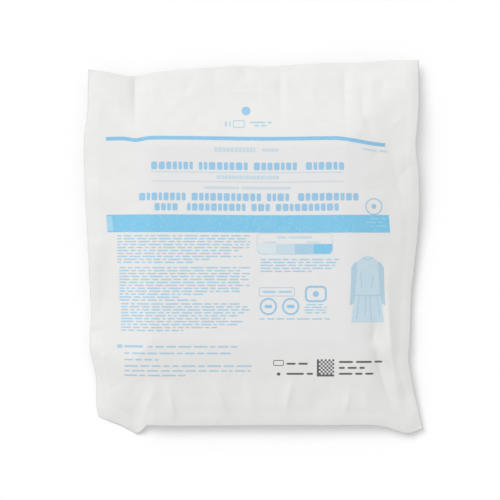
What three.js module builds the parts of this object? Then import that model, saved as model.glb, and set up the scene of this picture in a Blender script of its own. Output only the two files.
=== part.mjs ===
// A sealed soft pouch that holds a folded surgical gown, lying on its back.
// Millimetres, +Z up. The origin is the middle of the footprint, on the surface that the pouch lies on.
// +X is the reader's right, and +Y the top edge, where the two sheets part as peel flaps.

import * as THREE from "three";
import { mergeVertices } from "three/addons/utils/BufferGeometryUtils.js";

// Sheets of the pouch
const SHEET_WALL = 1.0; // wall of each sheet
const SEAM_GAP = 0.3; // between the sheets where they are sealed
const COLUMNS = 36; // cells across a sheet
const ROWS = 40; // cells up a sheet
const EDGE_CROWDING = 0.35; // how much closer the cells lie at the edges, as a share
const CORNERS = {
  bottomLeft: { x: -142.2, y: -154.3 },
  bottomRight: { x: 153.6, y: -165.2 },
  topLeft: { x: -151.3, y: 162.4 },
  topRight: { x: 149.5, y: 170.3 },
};
const ACROSS = 298; // nominal width between the edges, for distances in from an edge
const UP = 326; // nominal height between the edges
const EDGE_REACH = 0.3; // share of the sheet over which an edge's waves die out

// Heat seals: how far their inner lines lie from the edges
const SIDE_SEAL = 9;
const BOTTOM_SEAL = 10;
const TOP_SEAL = 22; // the peel flaps and the seal below them
const FLAP = 11; // how far the two sheets are unsealed below the top edge
const FLAP_OPENING = 2.2; // how far the flaps part at their edges
const CORNER_ROUNDING = 14; // softens the diagonals where two seals meet
const SEAL_CLIMB = 4.5; // how far the sheets climb, from their edges to the contents, before they part
const CLIMB_REACH = { side: 20, bottom: 22, top: 36 }; // how far in from each edge they do so
const CLIMB_ROUNDING = 0.5; // softens the diagonals where two such slopes meet

// Folded gown
const GOWN = { x: -4.8, y: 3.6, halfWidth: 126, halfHeight: 127, corner: 26 };
const GOWN_BOTTOM = 1.3;
const GOWN_ROUNDING = 13; // how far the folded edge rounds over, in plan
const GOWN_SQUARENESS = 9; // power of the superellipse that the pile is in plan
const GOWN_LAYERS = 6; // folds that show at its edges
const GOWN_FOLD_DEPTH = 1.2; // of the groove between two folds
const POINTS_PER_LAYER = 3;
const GOWN_SIDES = 72;
const GOWN_TOP_RINGS = [0.3, 0.5, 0.65, 0.76, 0.84]; // rings of its domed top, from the middle
const GOWN_CLEARANCE = 1.7; // under the front sheet
const PLACE_STEPS = 8; // of the search for a place on the sheet from its place in plan

// Heights of the filled pouch
const TOP_RIM = 23.5; // of the front sheet over the gown's edge
const CROWN = 2.6; // more than that in the middle
const FRONT_SHOULDER = 40; // how far inside the gown's edge the front sheet levels off
const BACK_SHOULDER = 5; // the same of the back sheet, which lies flatter
const FRONT_FULLNESS = 1.45; // power of the front sheet's swell
const BACK_FULLNESS = 2.2;
const FRONT_START = 0.28; // softens the bend where the front sheet leaves its seals
const BACK_START = 0.06; // the same of the back sheet
const REST_HEIGHT = SEAM_GAP / 2 + SHEET_WALL; // of the back sheet's middle line where it lies flat

// The four edges. along: share of the way from the left or bottom corner. out: how far the edge
// stands out from the straight line between its corners. rise: height of the seam.
const LEFT_EDGE = [
  { along: 0, out: 0, rise: 1.6 },
  { along: 0.03, out: 1.5, rise: 1.8 },
  { along: 0.1, out: 0.9, rise: 3 },
  { along: 0.2, out: 5.4, rise: 6.5 },
  { along: 0.24, out: 5.1, rise: 6 },
  { along: 0.29, out: 3.6, rise: 6 },
  { along: 0.48, out: 4.7, rise: 8.5 },
  { along: 0.74, out: 6, rise: 8 },
  { along: 0.8, out: 5.3, rise: 8.5 },
  { along: 0.86, out: 2.2, rise: 9 },
  { along: 0.92, out: 0.7, rise: 8.5 },
  { along: 1, out: 0, rise: 8 },
];
const RIGHT_EDGE = [
  { along: 0, out: 0, rise: 6 },
  { along: 0.06, out: -4.4, rise: 7.5 },
  { along: 0.12, out: -8.6, rise: 9 },
  { along: 0.2, out: -12.4, rise: 10.5 },
  { along: 0.23, out: -11.2, rise: 10 },
  { along: 0.36, out: -9, rise: 8.5 },
  { along: 0.45, out: -5.4, rise: 9 },
  { along: 0.53, out: -2.4, rise: 10.5 },
  { along: 0.6, out: -0.7, rise: 12.5 },
  { along: 0.68, out: -0.9, rise: 13.5 },
  { along: 0.77, out: -3.7, rise: 14 },
  { along: 0.85, out: -1, rise: 13 },
  { along: 0.91, out: 0, rise: 12.5 },
  { along: 1, out: 0, rise: 12 },
];
const BOTTOM_EDGE = [
  { along: 0, out: 0, rise: 1.6 },
  { along: 0.035, out: 4, rise: 1.6 },
  { along: 0.07, out: 7.6, rise: 1.6 },
  { along: 0.105, out: 12.5, rise: 1.7 },
  { along: 0.12, out: 14.4, rise: 2.4 },
  { along: 0.137, out: 10.8, rise: 6 },
  { along: 0.152, out: 6, rise: 9.5 },
  { along: 0.18, out: 6, rise: 12 },
  { along: 0.4, out: 3.7, rise: 12 },
  { along: 0.55, out: 1.7, rise: 13 },
  { along: 0.7, out: 0.1, rise: 12.5 },
  { along: 0.84, out: -1.5, rise: 12 },
  { along: 0.88, out: -0.6, rise: 10.5 },
  { along: 0.92, out: 2.9, rise: 8.5 },
  { along: 0.955, out: 5, rise: 7 },
  { along: 1, out: 0, rise: 6 },
];
const TOP_EDGE = [
  { along: 0, out: 0, rise: 7 },
  { along: 0.06, out: -3.2, rise: 6.5 },
  { along: 0.13, out: -7.4, rise: 5.5 },
  { along: 0.145, out: -7.4, rise: 5 },
  { along: 0.21, out: -4.3, rise: 6 },
  { along: 0.32, out: -2.5, rise: 7 },
  { along: 0.46, out: -0.8, rise: 6 },
  { along: 0.53, out: -2.3, rise: 6.5 },
  { along: 0.68, out: -0.8, rise: 7.5 },
  { along: 0.75, out: -0.4, rise: 7 },
  { along: 0.82, out: -1, rise: 9 },
  { along: 0.9, out: 0.2, rise: 10 },
  { along: 1, out: 0, rise: 12 },
];

// Largest creases of the front sheet. x1, y1 to x2, y2: the line that each runs along. bow: how far
// its middle bends to the left of that line. width: half its width. lift: its height, less than zero
// in a trough. peak: where along it that is reached; one that starts at an edge has it at 0.
const FRONT_CREASES = [
  // peel flaps
  { x1: -109.4, y1: 166, x2: -107.2, y2: 95, bow: 0, width: 4, lift: -2.8, peak: 0.3 },
  { x1: 23.4, y1: 168, x2: 24.3, y2: 105, bow: 0, width: 4, lift: -1.3, peak: 0.35 },
  { x1: 82, y1: 170, x2: 82.5, y2: 97, bow: 0, width: 3, lift: -1.4, peak: 0.3 },
  { x1: -35.7, y1: 166, x2: -36.6, y2: 145, bow: 0, width: 5, lift: -1, peak: 0 },
  { x1: -8.4, y1: 166, x2: -6.6, y2: 143, bow: 0, width: 5, lift: -1.1, peak: 0 },
  // upper right, over the gown's corner
  { x1: 98, y1: 120, x2: 112, y2: 98, bow: -1, width: 3.5, lift: -1.8, peak: 0.4 },
  { x1: 97, y1: 150, x2: 99, y2: 112, bow: 0, width: 4, lift: -1.5, peak: 0.6 },
  { x1: 116, y1: 114, x2: 136, y2: 22, bow: 3, width: 9, lift: -2.9, peak: 0.45 },
  // right side and the corner below it
  { x1: 122, y1: -8, x2: 136, y2: -160, bow: -5.5, width: 5.5, lift: 3.6, peak: 0.45 },
  { x1: 110.5, y1: -62, x2: 107.6, y2: -92, bow: -1, width: 5, lift: -2.4, peak: 0.6 },
  { x1: 107.5, y1: -80, x2: 132, y2: -158, bow: -3, width: 6, lift: -3.6, peak: 0.4 },
  { x1: 114.4, y1: -80, x2: 124, y2: -113, bow: 0, width: 5, lift: 1.6, peak: 0.5 },
  { x1: 133, y1: -120, x2: 144.6, y2: -152, bow: 0, width: 5, lift: -1.8, peak: 0.5 },
  // fan along the bottom
  { x1: -86, y1: -117, x2: -104, y2: -160, bow: 0, width: 5, lift: 1.6, peak: 0.6 },
  { x1: -80.3, y1: -117, x2: -71, y2: -160, bow: 0, width: 3.5, lift: 2.2, peak: 0.6 },
  { x1: -43, y1: -112, x2: -21, y2: -160, bow: 1, width: 4.5, lift: 2.6, peak: 0.55 },
  { x1: -9, y1: -112, x2: 2, y2: -159, bow: 0, width: 5, lift: 1.2, peak: 0.5 },
  { x1: 36.5, y1: -111, x2: 28, y2: -156, bow: -1, width: 3.5, lift: 1.9, peak: 0.5 },
  { x1: 62, y1: -124, x2: 53, y2: -159, bow: 0, width: 8, lift: -1.2, peak: 0.5 },
  { x1: 88, y1: -122, x2: 79.9, y2: -161, bow: 0, width: 4, lift: 1.6, peak: 0.5 },
  // left side
  { x1: -138, y1: 9, x2: -133.4, y2: -68, bow: 0, width: 6, lift: -2.6, peak: 0.6 },
  { x1: -150.4, y1: -78, x2: -128.5, y2: -73, bow: 0, width: 5, lift: -1.2, peak: 0 },
  { x1: -151.3, y1: 63, x2: -131.3, y2: 32, bow: 0, width: 7, lift: 1.5, peak: 0.4 },
];

// Creases of the back sheet, all between the seals and the part that lies flat
const BACK_CREASES = [
  { x1: -128, y1: 128, x2: -146, y2: 150, bow: 0, width: 8, lift: 2.6, peak: 0.4 },
  { x1: 122, y1: 132, x2: 142, y2: 154, bow: 0, width: 8, lift: 2.4, peak: 0.4 },
  { x1: 120, y1: -120, x2: 142, y2: -148, bow: 0, width: 8, lift: 3, peak: 0.4 },
  { x1: -124, y1: -122, x2: -136, y2: -142, bow: 0, width: 8, lift: 1.4, peak: 0.4 },
  { x1: -60, y1: -124, x2: -72, y2: -154, bow: 0, width: 7, lift: 2.2, peak: 0.5 },
  { x1: -16, y1: -124, x2: -8, y2: -154, bow: 0, width: 7, lift: 2.4, peak: 0.5 },
  { x1: 36, y1: -124, x2: 30, y2: -154, bow: 0, width: 7, lift: 2, peak: 0.5 },
  { x1: 82, y1: -124, x2: 94, y2: -154, bow: 0, width: 7, lift: 2.4, peak: 0.5 },
  { x1: 124, y1: -44, x2: 140, y2: -52, bow: 0, width: 7, lift: 2.4, peak: 0.5 },
  { x1: 124, y1: 60, x2: 142, y2: 66, bow: 0, width: 7, lift: 2.2, peak: 0.5 },
  { x1: -130, y1: 58, x2: -146, y2: 64, bow: 0, width: 7, lift: 2, peak: 0.5 },
  { x1: -130, y1: -28, x2: -144, y2: -34, bow: 0, width: 7, lift: 2, peak: 0.5 },
  { x1: -52, y1: 132, x2: -58, y2: 146, bow: 0, width: 8, lift: 1.6, peak: 0.5 },
  { x1: 44, y1: 132, x2: 52, y2: 148, bow: 0, width: 8, lift: 1.8, peak: 0.5 },
];

const clamp = THREE.MathUtils.clamp;

// A column of a table at a place between its rows, on a smooth curve that never overshoots them.
function between(table, column, along) {
  const last = table.length - 1;
  const span = (i) => table[i + 1].along - table[i].along;
  const slope = (i) => (table[i + 1][column] - table[i][column]) / span(i);
  const tangent = (i) => {
    if (i === 0) return slope(0);
    if (i === last) return slope(last - 1);
    const before = slope(i - 1);
    const after = slope(i);
    return before * after <= 0 ? 0 : (2 * before * after) / (before + after);
  };
  let i = 0;
  while (i < last - 1 && along > table[i + 1].along) i++;
  const h = span(i);
  const t = clamp((along - table[i].along) / h, 0, 1);
  const t2 = t * t;
  const t3 = t2 * t;
  return (
    (2 * t3 - 3 * t2 + 1) * table[i][column] +
    (t3 - 2 * t2 + t) * h * tangent(i) +
    (3 * t2 - 2 * t3) * table[i + 1][column] +
    (t3 - t2) * h * tangent(i + 1)
  );
}

// How strongly an edge's waves are felt at a share of the sheet in from it.
const nearness = (share) => (1 - Math.min(share / EDGE_REACH, 1)) ** 1.3;

// Where a point of the sheet lies in plan: u from the left edge and v from the bottom edge, 0 to 1.
function planPoint(u, v) {
  const { bottomLeft, bottomRight, topLeft, topRight } = CORNERS;
  const blend = (key) =>
    (1 - v) * ((1 - u) * bottomLeft[key] + u * bottomRight[key]) +
    v * ((1 - u) * topLeft[key] + u * topRight[key]);
  const sideways =
    between(RIGHT_EDGE, "out", v) * nearness(1 - u) - between(LEFT_EDGE, "out", v) * nearness(u);
  const upwards =
    between(TOP_EDGE, "out", u) * nearness(1 - v) - between(BOTTOM_EDGE, "out", u) * nearness(v);
  return { x: blend("x") + sideways, y: blend("y") + upwards };
}

// How far the seals have climbed from the sheets' edges at u, v.
function climb(u, v) {
  const across = softMin(u * ACROSS, (1 - u) * ACROSS, CORNER_ROUNDING) / CLIMB_REACH.side;
  const up = softMin((v * UP) / CLIMB_REACH.bottom, ((1 - v) * UP) / CLIMB_REACH.top, CLIMB_ROUNDING);
  const share = clamp(softMin(across, up, CLIMB_ROUNDING), 0, 1);
  return SEAL_CLIMB * (1 - (1 - share) ** 2);
}

// Height of the seam, carried in over the whole sheet from the nearest edges.
function seamHeight(u, v) {
  const edges = [
    { rise: between(LEFT_EDGE, "rise", v), away: u * ACROSS },
    { rise: between(RIGHT_EDGE, "rise", v), away: (1 - u) * ACROSS },
    { rise: between(BOTTOM_EDGE, "rise", u), away: v * UP },
    { rise: between(TOP_EDGE, "rise", u), away: (1 - v) * UP },
  ];
  const weight = (edge) => 1 / (edge.away + 1) ** 2;
  const total = edges.reduce((sum, edge) => sum + weight(edge), 0);
  return edges.reduce((sum, edge) => sum + edge.rise * weight(edge), 0) / total + climb(u, v);
}

// The smaller of two distances, rounded where they are nearly alike.
function softMin(a, b, rounding) {
  const mix = clamp(0.5 + (0.5 * (b - a)) / rounding, 0, 1);
  return b + (a - b) * mix - rounding * mix * (1 - mix);
}

// Distance in from the inner line of the seals, 0 on the seals and outside them.
function insideSeals(u, v) {
  const across = softMin(u * ACROSS, (1 - u) * ACROSS, CORNER_ROUNDING) - SIDE_SEAL;
  const up = softMin(v * UP - BOTTOM_SEAL, (1 - v) * UP - TOP_SEAL, CORNER_ROUNDING);
  return Math.max(softMin(across, up, CORNER_ROUNDING), 0);
}

// Distance out from the folded gown's edge in plan, less than zero inside it.
function outsideGown(x, y) {
  const right = Math.abs(x - GOWN.x) - GOWN.halfWidth + GOWN.corner;
  const up = Math.abs(y - GOWN.y) - GOWN.halfHeight + GOWN.corner;
  return Math.hypot(Math.max(right, 0), Math.max(up, 0)) + Math.min(Math.max(right, up), 0) - GOWN.corner;
}

// How far up the side of the filled pouch a point lies: 0 at the seals, 1 where the sheet levels off.
function fillShare(inside, outside, shoulder, start) {
  const share = inside / (inside + Math.max(outside + shoulder, 0) || 1);
  return ((1 + start) * share * share) / (share + start);
}

// Height that the creases of a table give at a point in plan.
function creaseHeight(creases, x, y) {
  let height = 0;
  for (const crease of creases) {
    const runX = crease.x2 - crease.x1;
    const runY = crease.y2 - crease.y1;
    const long = Math.hypot(runX, runY);
    const along = ((x - crease.x1) * runX + (y - crease.y1) * runY) / long ** 2;
    if (along >= 1 || (along < 0 && crease.peak > 0)) continue;
    const t = Math.max(along, 0);
    const off = ((y - crease.y1) * runX - (x - crease.x1) * runY) / long - crease.bow * 4 * t * (1 - t);
    const reached = t < crease.peak ? t / crease.peak : (1 - t) / (1 - crease.peak);
    const taper = reached * reached * (3 - 2 * reached);
    height += crease.lift * taper * Math.exp(-((off / crease.width) ** 2));
  }
  return height;
}

// Height that the front sheet levels off at.
function topHeight(x, y) {
  const right = clamp((x - GOWN.x) / GOWN.halfWidth, -1, 1);
  const up = clamp((y - GOWN.y) / GOWN.halfHeight, -1, 1);
  return TOP_RIM + CROWN * (1 - right * right) * (1 - up * up);
}

// Half the gap between the sheets above the top seal, where they part as peel flaps.
function flapGap(u, v) {
  const above = clamp((FLAP - (1 - v) * UP) / FLAP, 0, 1);
  const wave = 0.65 + 0.35 * Math.sin(u * 17);
  return (FLAP_OPENING / 2) * wave * above * above;
}

// The front sheet's middle line at the seams, and its underside elsewhere.
function frontPoint(u, v) {
  const { x, y } = planPoint(u, v);
  const seam = seamHeight(u, v);
  const share = fillShare(insideSeals(u, v), outsideGown(x, y), FRONT_SHOULDER, FRONT_START);
  const swell = 1 - (1 - share) ** FRONT_FULLNESS;
  const z = seam + (topHeight(x, y) - seam) * swell + creaseHeight(FRONT_CREASES, x, y);
  return new THREE.Vector3(x, y, Math.max(z, REST_HEIGHT) + flapGap(u, v));
}

// The back sheet's middle line at the seams, where it follows the front one, and its upper side elsewhere.
function backPoint(u, v) {
  const { x, y } = planPoint(u, v);
  const seam = seamHeight(u, v);
  const share = fillShare(insideSeals(u, v), outsideGown(x, y), BACK_SHOULDER, BACK_START);
  const swell = 1 - (1 - share) ** BACK_FULLNESS;
  const shared = creaseHeight(FRONT_CREASES, x, y) * (1 - share) ** 2;
  const own = creaseHeight(BACK_CREASES, x, y) * 4 * share * (1 - share);
  const z = seam + (REST_HEIGHT - seam) * swell + shared + own;
  return new THREE.Vector3(x, y, Math.max(z, REST_HEIGHT) - flapGap(u, v));
}

// The upward normal of a sheet at u, v, from points close by.
function upward(point, u, v) {
  const step = 0.002;
  const across = point(Math.min(u + step, 1), v).sub(point(Math.max(u - step, 0), v));
  const up = point(u, Math.min(v + step, 1)).sub(point(u, Math.max(v - step, 0)));
  return across.cross(up).normalize();
}

// Puts the cells of a sheet closer together towards its edges.
const crowd = (share) => share - (EDGE_CROWDING * Math.sin(2 * Math.PI * share)) / (2 * Math.PI);

// A closed wall over the sheet, from one height to another along its normals.
function sheetWall(point, from, to) {
  const wall = new THREE.BoxGeometry(1, 1, 1, COLUMNS, ROWS, 1);
  alignUnderside(wall);
  const place = wall.getAttribute("position");
  for (let i = 0; i < place.count; i++) {
    const u = crowd(place.getX(i) + 0.5);
    const v = crowd(place.getY(i) + 0.5);
    const offset = place.getZ(i) > 0 ? to : from;
    const at = point(u, v).addScaledVector(upward(point, u, v), offset);
    place.setXYZ(i, at.x, at.y, at.z);
  }
  return closed(wall);
}

// Cuts the cells of a box's underside along the same diagonals as those of its upper side, so that
// sealed sheets lie parallel where a cell is twisted.
function alignUnderside(wall) {
  const index = wall.getIndex();
  const underside = wall.groups[5];
  for (let i = underside.start; i < underside.start + underside.count; i += 6) {
    const [a, b, d, c] = [0, 1, 2, 4].map((step) => index.getX(i + step));
    [a, b, c, a, c, d].forEach((corner, step) => index.setX(i + step, corner));
  }
}

// The same geometry with its shared points merged, so that it is one closed body.
function closed(geometry) {
  geometry.deleteAttribute("normal");
  geometry.deleteAttribute("uv");
  const merged = mergeVertices(geometry, 1e-4);
  merged.computeVertexNormals();
  return merged;
}

// Height of the gown's upper side at x, y in plan, a clearance below the front sheet.
function pileTop(x, y) {
  let u = (x - CORNERS.bottomLeft.x) / ACROSS;
  let v = (y - CORNERS.bottomLeft.y) / UP;
  for (let i = 0; i < PLACE_STEPS; i++) {
    const at = planPoint(u, v);
    u += (x - at.x) / ACROSS;
    v += (y - at.y) / UP;
  }
  return frontPoint(u, v).z - GOWN_CLEARANCE;
}

// The folded gown: a pile with a rounded outline in plan, domed under the front sheet and rounded over
// at its edges, which are marked by a groove between each two layers.
function foldedGown() {
  const rings = [{ radius: 0, share: 1 }];
  for (const across of GOWN_TOP_RINGS) {
    rings.push({ radius: GOWN.halfWidth * across, share: 1 });
  }
  const steps = GOWN_LAYERS * POINTS_PER_LAYER;
  for (let i = steps; i >= 0; i--) {
    const angle = Math.PI * (i / steps - 0.5);
    const groove = GOWN_FOLD_DEPTH * Math.abs(Math.cos((Math.PI * GOWN_LAYERS * i) / steps)) ** 3;
    const inset = GOWN_ROUNDING * (1 - Math.cos(angle)) + groove * Math.cos(angle);
    rings.push({ radius: GOWN.halfWidth - inset, share: 0.5 + 0.5 * Math.sin(angle) });
  }
  rings.push({ radius: 0, share: 0 });

  const pile = new THREE.SphereGeometry(1, GOWN_SIDES, rings.length - 1);
  const place = pile.getAttribute("position");
  const power = 2 / GOWN_SQUARENESS;
  const square = (value) => (Math.abs(value) < 1e-9 ? 0 : Math.sign(value) * Math.abs(value) ** power);
  for (let i = 0; i < place.count; i++) {
    const { radius, share } = rings[Math.floor(i / (GOWN_SIDES + 1))];
    const turn = (2 * Math.PI * (i % (GOWN_SIDES + 1) % GOWN_SIDES)) / GOWN_SIDES;
    const x = GOWN.x + radius * square(Math.cos(turn));
    const y = GOWN.y + ((radius * GOWN.halfHeight) / GOWN.halfWidth) * square(Math.sin(turn));
    place.setXYZ(i, x, y, GOWN_BOTTOM + share * (pileTop(x, y) - GOWN_BOTTOM));
  }
  return closed(pile);
}

const whiteSheet = new THREE.MeshStandardMaterial({ color: 0xeae9e6, roughness: 0.6, metalness: 0 });
const plainSheet = new THREE.MeshStandardMaterial({ color: 0xe6e6e4, roughness: 0.55, metalness: 0 });
const gownCloth = new THREE.MeshStandardMaterial({ color: 0x6f9fc4, roughness: 0.9, metalness: 0 });

const pouch = new THREE.Group();
function add(name, geometry, material) {
  const mesh = new THREE.Mesh(geometry, material);
  mesh.name = name;
  pouch.add(mesh);
}
add("back_web", sheetWall(backPoint, -SEAM_GAP / 2 - SHEET_WALL, -SEAM_GAP / 2), plainSheet);
add("folded_gown", foldedGown(), gownCloth);
add("front_web", sheetWall(frontPoint, SEAM_GAP / 2, SEAM_GAP / 2 + SHEET_WALL), whiteSheet);

// Stands the middle of the footprint over the origin
const box = new THREE.Box3().setFromObject(pouch);
const middle = box.getCenter(new THREE.Vector3());
pouch.position.set(-middle.x, -middle.y, 0);

export default pouch;
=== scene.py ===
"""Dresses a sealed soft pouch that lies on its back, plump over the folded surgical gown inside.

Plan positions and sizes are in millimetres, +X the reader's right and +Y towards the peel flaps.
They are turned to metres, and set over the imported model's own middle, when a mesh is made.
"""

import logging
import math
from dataclasses import dataclass, field
from enum import Enum
from typing import Callable, NamedTuple

import bmesh
import bpy
import numpy as np
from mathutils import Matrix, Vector
from mathutils.bvhtree import BVHTree


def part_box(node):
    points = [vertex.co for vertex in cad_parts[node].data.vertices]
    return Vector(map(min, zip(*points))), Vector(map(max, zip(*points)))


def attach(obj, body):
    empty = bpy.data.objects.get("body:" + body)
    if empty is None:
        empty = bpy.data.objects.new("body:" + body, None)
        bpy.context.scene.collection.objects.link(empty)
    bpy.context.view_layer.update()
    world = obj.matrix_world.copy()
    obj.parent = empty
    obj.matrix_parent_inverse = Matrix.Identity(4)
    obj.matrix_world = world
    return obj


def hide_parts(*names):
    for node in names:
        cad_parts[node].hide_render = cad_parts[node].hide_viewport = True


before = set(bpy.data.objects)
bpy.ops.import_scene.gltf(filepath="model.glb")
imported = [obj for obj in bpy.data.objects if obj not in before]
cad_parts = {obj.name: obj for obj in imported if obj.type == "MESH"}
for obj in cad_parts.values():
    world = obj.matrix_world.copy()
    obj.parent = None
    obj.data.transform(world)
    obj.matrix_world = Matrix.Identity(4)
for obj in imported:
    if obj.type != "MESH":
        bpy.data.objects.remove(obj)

LOG = logging.getLogger("pouch")
MM = 0.001

Array = np.ndarray
Colour = tuple[float, float, float]
Point = tuple[float, float]
Place = Callable[[float, float], Point]


# Edges, creases and the form of the two sheets


class EdgePoint(NamedTuple):
    """One place on an edge of the pouch."""

    along: float  # share of the way from the left or bottom corner
    out: float  # how far the edge stands out from the straight line between its corners
    rise: float  # height of the seam


class EdgeCurve:
    """An edge of the pouch, smooth between its points."""

    def __init__(self, *points: tuple[float, float, float]) -> None:
        """Keeps the points.

        Args:
            points: along, out and rise of each point, in order.
        """
        self.points = [EdgePoint(*point) for point in points]

    def column(self, name: str, along: Array) -> Array:
        """Reads a column between its points, on a curve that never overshoots them.

        Args:
            name: out or rise.
            along: shares of the way along the edge.

        Returns:
            The column's value at each share.
        """
        xs = np.array([point.along for point in self.points])
        ys = np.array([getattr(point, name) for point in self.points])
        steps = np.diff(xs)
        slopes = np.diff(ys) / steps
        tangents = np.concatenate([[slopes[0]], np.zeros(len(xs) - 2), [slopes[-1]]])
        same_way = slopes[:-1] * slopes[1:] > 0
        sums = np.where(same_way, slopes[:-1] + slopes[1:], 1)
        tangents[1:-1] = np.where(same_way, 2 * slopes[:-1] * slopes[1:] / sums, 0)
        i = np.clip(np.searchsorted(xs, along, side="right") - 1, 0, len(xs) - 2)
        h = steps[i]
        t = np.clip((along - xs[i]) / h, 0, 1)
        return (
            (2 * t**3 - 3 * t**2 + 1) * ys[i]
            + (t**3 - 2 * t**2 + t) * h * tangents[i]
            + (3 * t**2 - 2 * t**3) * ys[i + 1]
            + (t**3 - t**2) * h * tangents[i + 1]
        )


# Each row is a point's along, out and rise
LEFT_EDGE = EdgeCurve(
    (0, 0, 1.6),
    (0.03, 1.5, 1.8),
    (0.1, 0.9, 3),
    (0.2, 5.4, 6.5),
    (0.24, 5.1, 6),
    (0.29, 3.6, 6),
    (0.48, 4.7, 8.5),
    (0.74, 6, 8),
    (0.8, 5.3, 8.5),
    (0.86, 2.2, 9),
    (0.92, 0.7, 8.5),
    (1, 0, 8),
)
RIGHT_EDGE = EdgeCurve(
    (0, 0, 6),
    (0.06, -4.4, 7.5),
    (0.12, -8.6, 9),
    (0.2, -12.4, 10.5),
    (0.23, -11.2, 10),
    (0.36, -9, 8.5),
    (0.45, -5.4, 9),
    (0.53, -2.4, 10.5),
    (0.6, -0.7, 12.5),
    (0.68, -0.9, 13.5),
    (0.77, -3.7, 14),
    (0.85, -1, 13),
    (0.91, 0, 12.5),
    (1, 0, 12),
)
BOTTOM_EDGE = EdgeCurve(
    (0, 0, 1.6),
    (0.035, 4, 1.6),
    (0.07, 7.6, 1.6),
    (0.105, 12.5, 1.7),
    (0.12, 14.4, 2.4),
    (0.137, 10.8, 6),
    (0.152, 6, 9.5),
    (0.18, 6, 12),
    (0.4, 3.7, 12),
    (0.55, 1.7, 13),
    (0.7, 0.1, 12.5),
    (0.84, -1.5, 12),
    (0.88, -0.6, 10.5),
    (0.92, 2.9, 8.5),
    (0.955, 5, 7),
    (1, 0, 6),
)
TOP_EDGE = EdgeCurve(
    (0, 0, 7),
    (0.06, -3.2, 6.5),
    (0.13, -7.4, 5.5),
    (0.145, -7.4, 5),
    (0.21, -4.3, 6),
    (0.32, -2.5, 7),
    (0.46, -0.8, 6),
    (0.53, -2.3, 6.5),
    (0.68, -0.8, 7.5),
    (0.75, -0.4, 7),
    (0.82, -1, 9),
    (0.9, 0.2, 10),
    (1, 0, 12),
)


class Fold(Enum):
    """How a crease is shaped across."""

    SOFT = "rounded trough or ridge"
    CRISP = "narrow crest with hollow flanks"


class Crease(NamedTuple):
    """A crease from x1, y1 to x2, y2 in plan."""

    x1: float
    y1: float
    x2: float
    y2: float
    bow: float  # how far its middle bends to the left of that line
    width: float  # half its width
    lift: float  # its height, less than zero in a trough
    peak: float  # where along it that is reached; one that starts at an edge has it at 0
    fold: Fold = Fold.SOFT


# The largest creases. The solids share them, but one of theirs is deeper and starts 8 mm higher up
MAIN_CREASES = (
    Crease(-109.4, 166, -107.2, 95, 0, 4, -2.8, 0.3, Fold.CRISP),
    Crease(23.4, 168, 24.3, 105, 0, 4, -1.3, 0.35, Fold.CRISP),
    Crease(82, 170, 82.5, 97, 0, 3, -1.4, 0.3, Fold.CRISP),
    Crease(-35.7, 166, -36.6, 145, 0, 5, -1, 0),
    Crease(-8.4, 166, -6.6, 143, 0, 5, -1.1, 0),
    Crease(98, 120, 112, 98, -1, 3.5, -1.8, 0.4, Fold.CRISP),
    Crease(97, 150, 99, 112, 0, 4, -1.5, 0.6, Fold.CRISP),
    Crease(117, 106, 136, 20, 3, 8, -2.1, 0.5, Fold.CRISP),
    Crease(122, -8, 136, -160, -5.5, 5.5, 3.6, 0.45, Fold.CRISP),
    Crease(110.5, -62, 107.6, -92, -1, 5, -2.4, 0.6, Fold.CRISP),
    Crease(107.5, -80, 132, -158, -3, 6, -3.6, 0.4, Fold.CRISP),
    Crease(114.4, -80, 124, -113, 0, 5, 1.6, 0.5),
    Crease(133, -120, 144.6, -152, 0, 5, -1.8, 0.5, Fold.CRISP),
    Crease(-86, -117, -104, -160, 0, 5, 1.6, 0.6, Fold.CRISP),
    Crease(-80.3, -117, -71, -160, 0, 3.5, 2.2, 0.6, Fold.CRISP),
    Crease(-43, -112, -21, -160, 1, 4.5, 2.6, 0.55, Fold.CRISP),
    Crease(-9, -112, 2, -159, 0, 5, 1.2, 0.5),
    Crease(36.5, -111, 28, -156, -1, 3.5, 1.9, 0.5, Fold.CRISP),
    Crease(62, -124, 53, -159, 0, 8, -1.2, 0.5),
    Crease(88, -122, 79.9, -161, 0, 4, 1.6, 0.5, Fold.CRISP),
    Crease(-138, 9, -133.4, -68, 0, 6, -2.6, 0.6),
    Crease(-150.4, -78, -128.5, -73, 0, 5, -1.2, 0, Fold.CRISP),
    Crease(-151.3, 63, -131.3, 32, 0, 7, 1.5, 0.4),
)

# Creases between the seals and the flat underside of the back sheet
BACK_CREASES = (
    Crease(-128, 128, -146, 150, 0, 8, 2.6, 0.4),
    Crease(122, 132, 142, 154, 0, 8, 2.4, 0.4),
    Crease(120, -120, 142, -148, 0, 8, 3, 0.4),
    Crease(-124, -122, -136, -142, 0, 8, 1.4, 0.4),
    Crease(-60, -124, -72, -154, 0, 7, 2.2, 0.5),
    Crease(-16, -124, -8, -154, 0, 7, 2.4, 0.5),
    Crease(36, -124, 30, -154, 0, 7, 2, 0.5),
    Crease(82, -124, 94, -154, 0, 7, 2.4, 0.5),
    Crease(124, -44, 140, -52, 0, 7, 2.4, 0.5),
    Crease(124, 60, 142, 66, 0, 7, 2.2, 0.5),
    Crease(-130, 58, -146, 64, 0, 7, 2, 0.5),
    Crease(-130, -28, -144, -34, 0, 7, 2, 0.5),
    Crease(-52, 132, -58, 146, 0, 8, 1.6, 0.5),
    Crease(44, 132, 52, 148, 0, 8, 1.8, 0.5),
)

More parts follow.
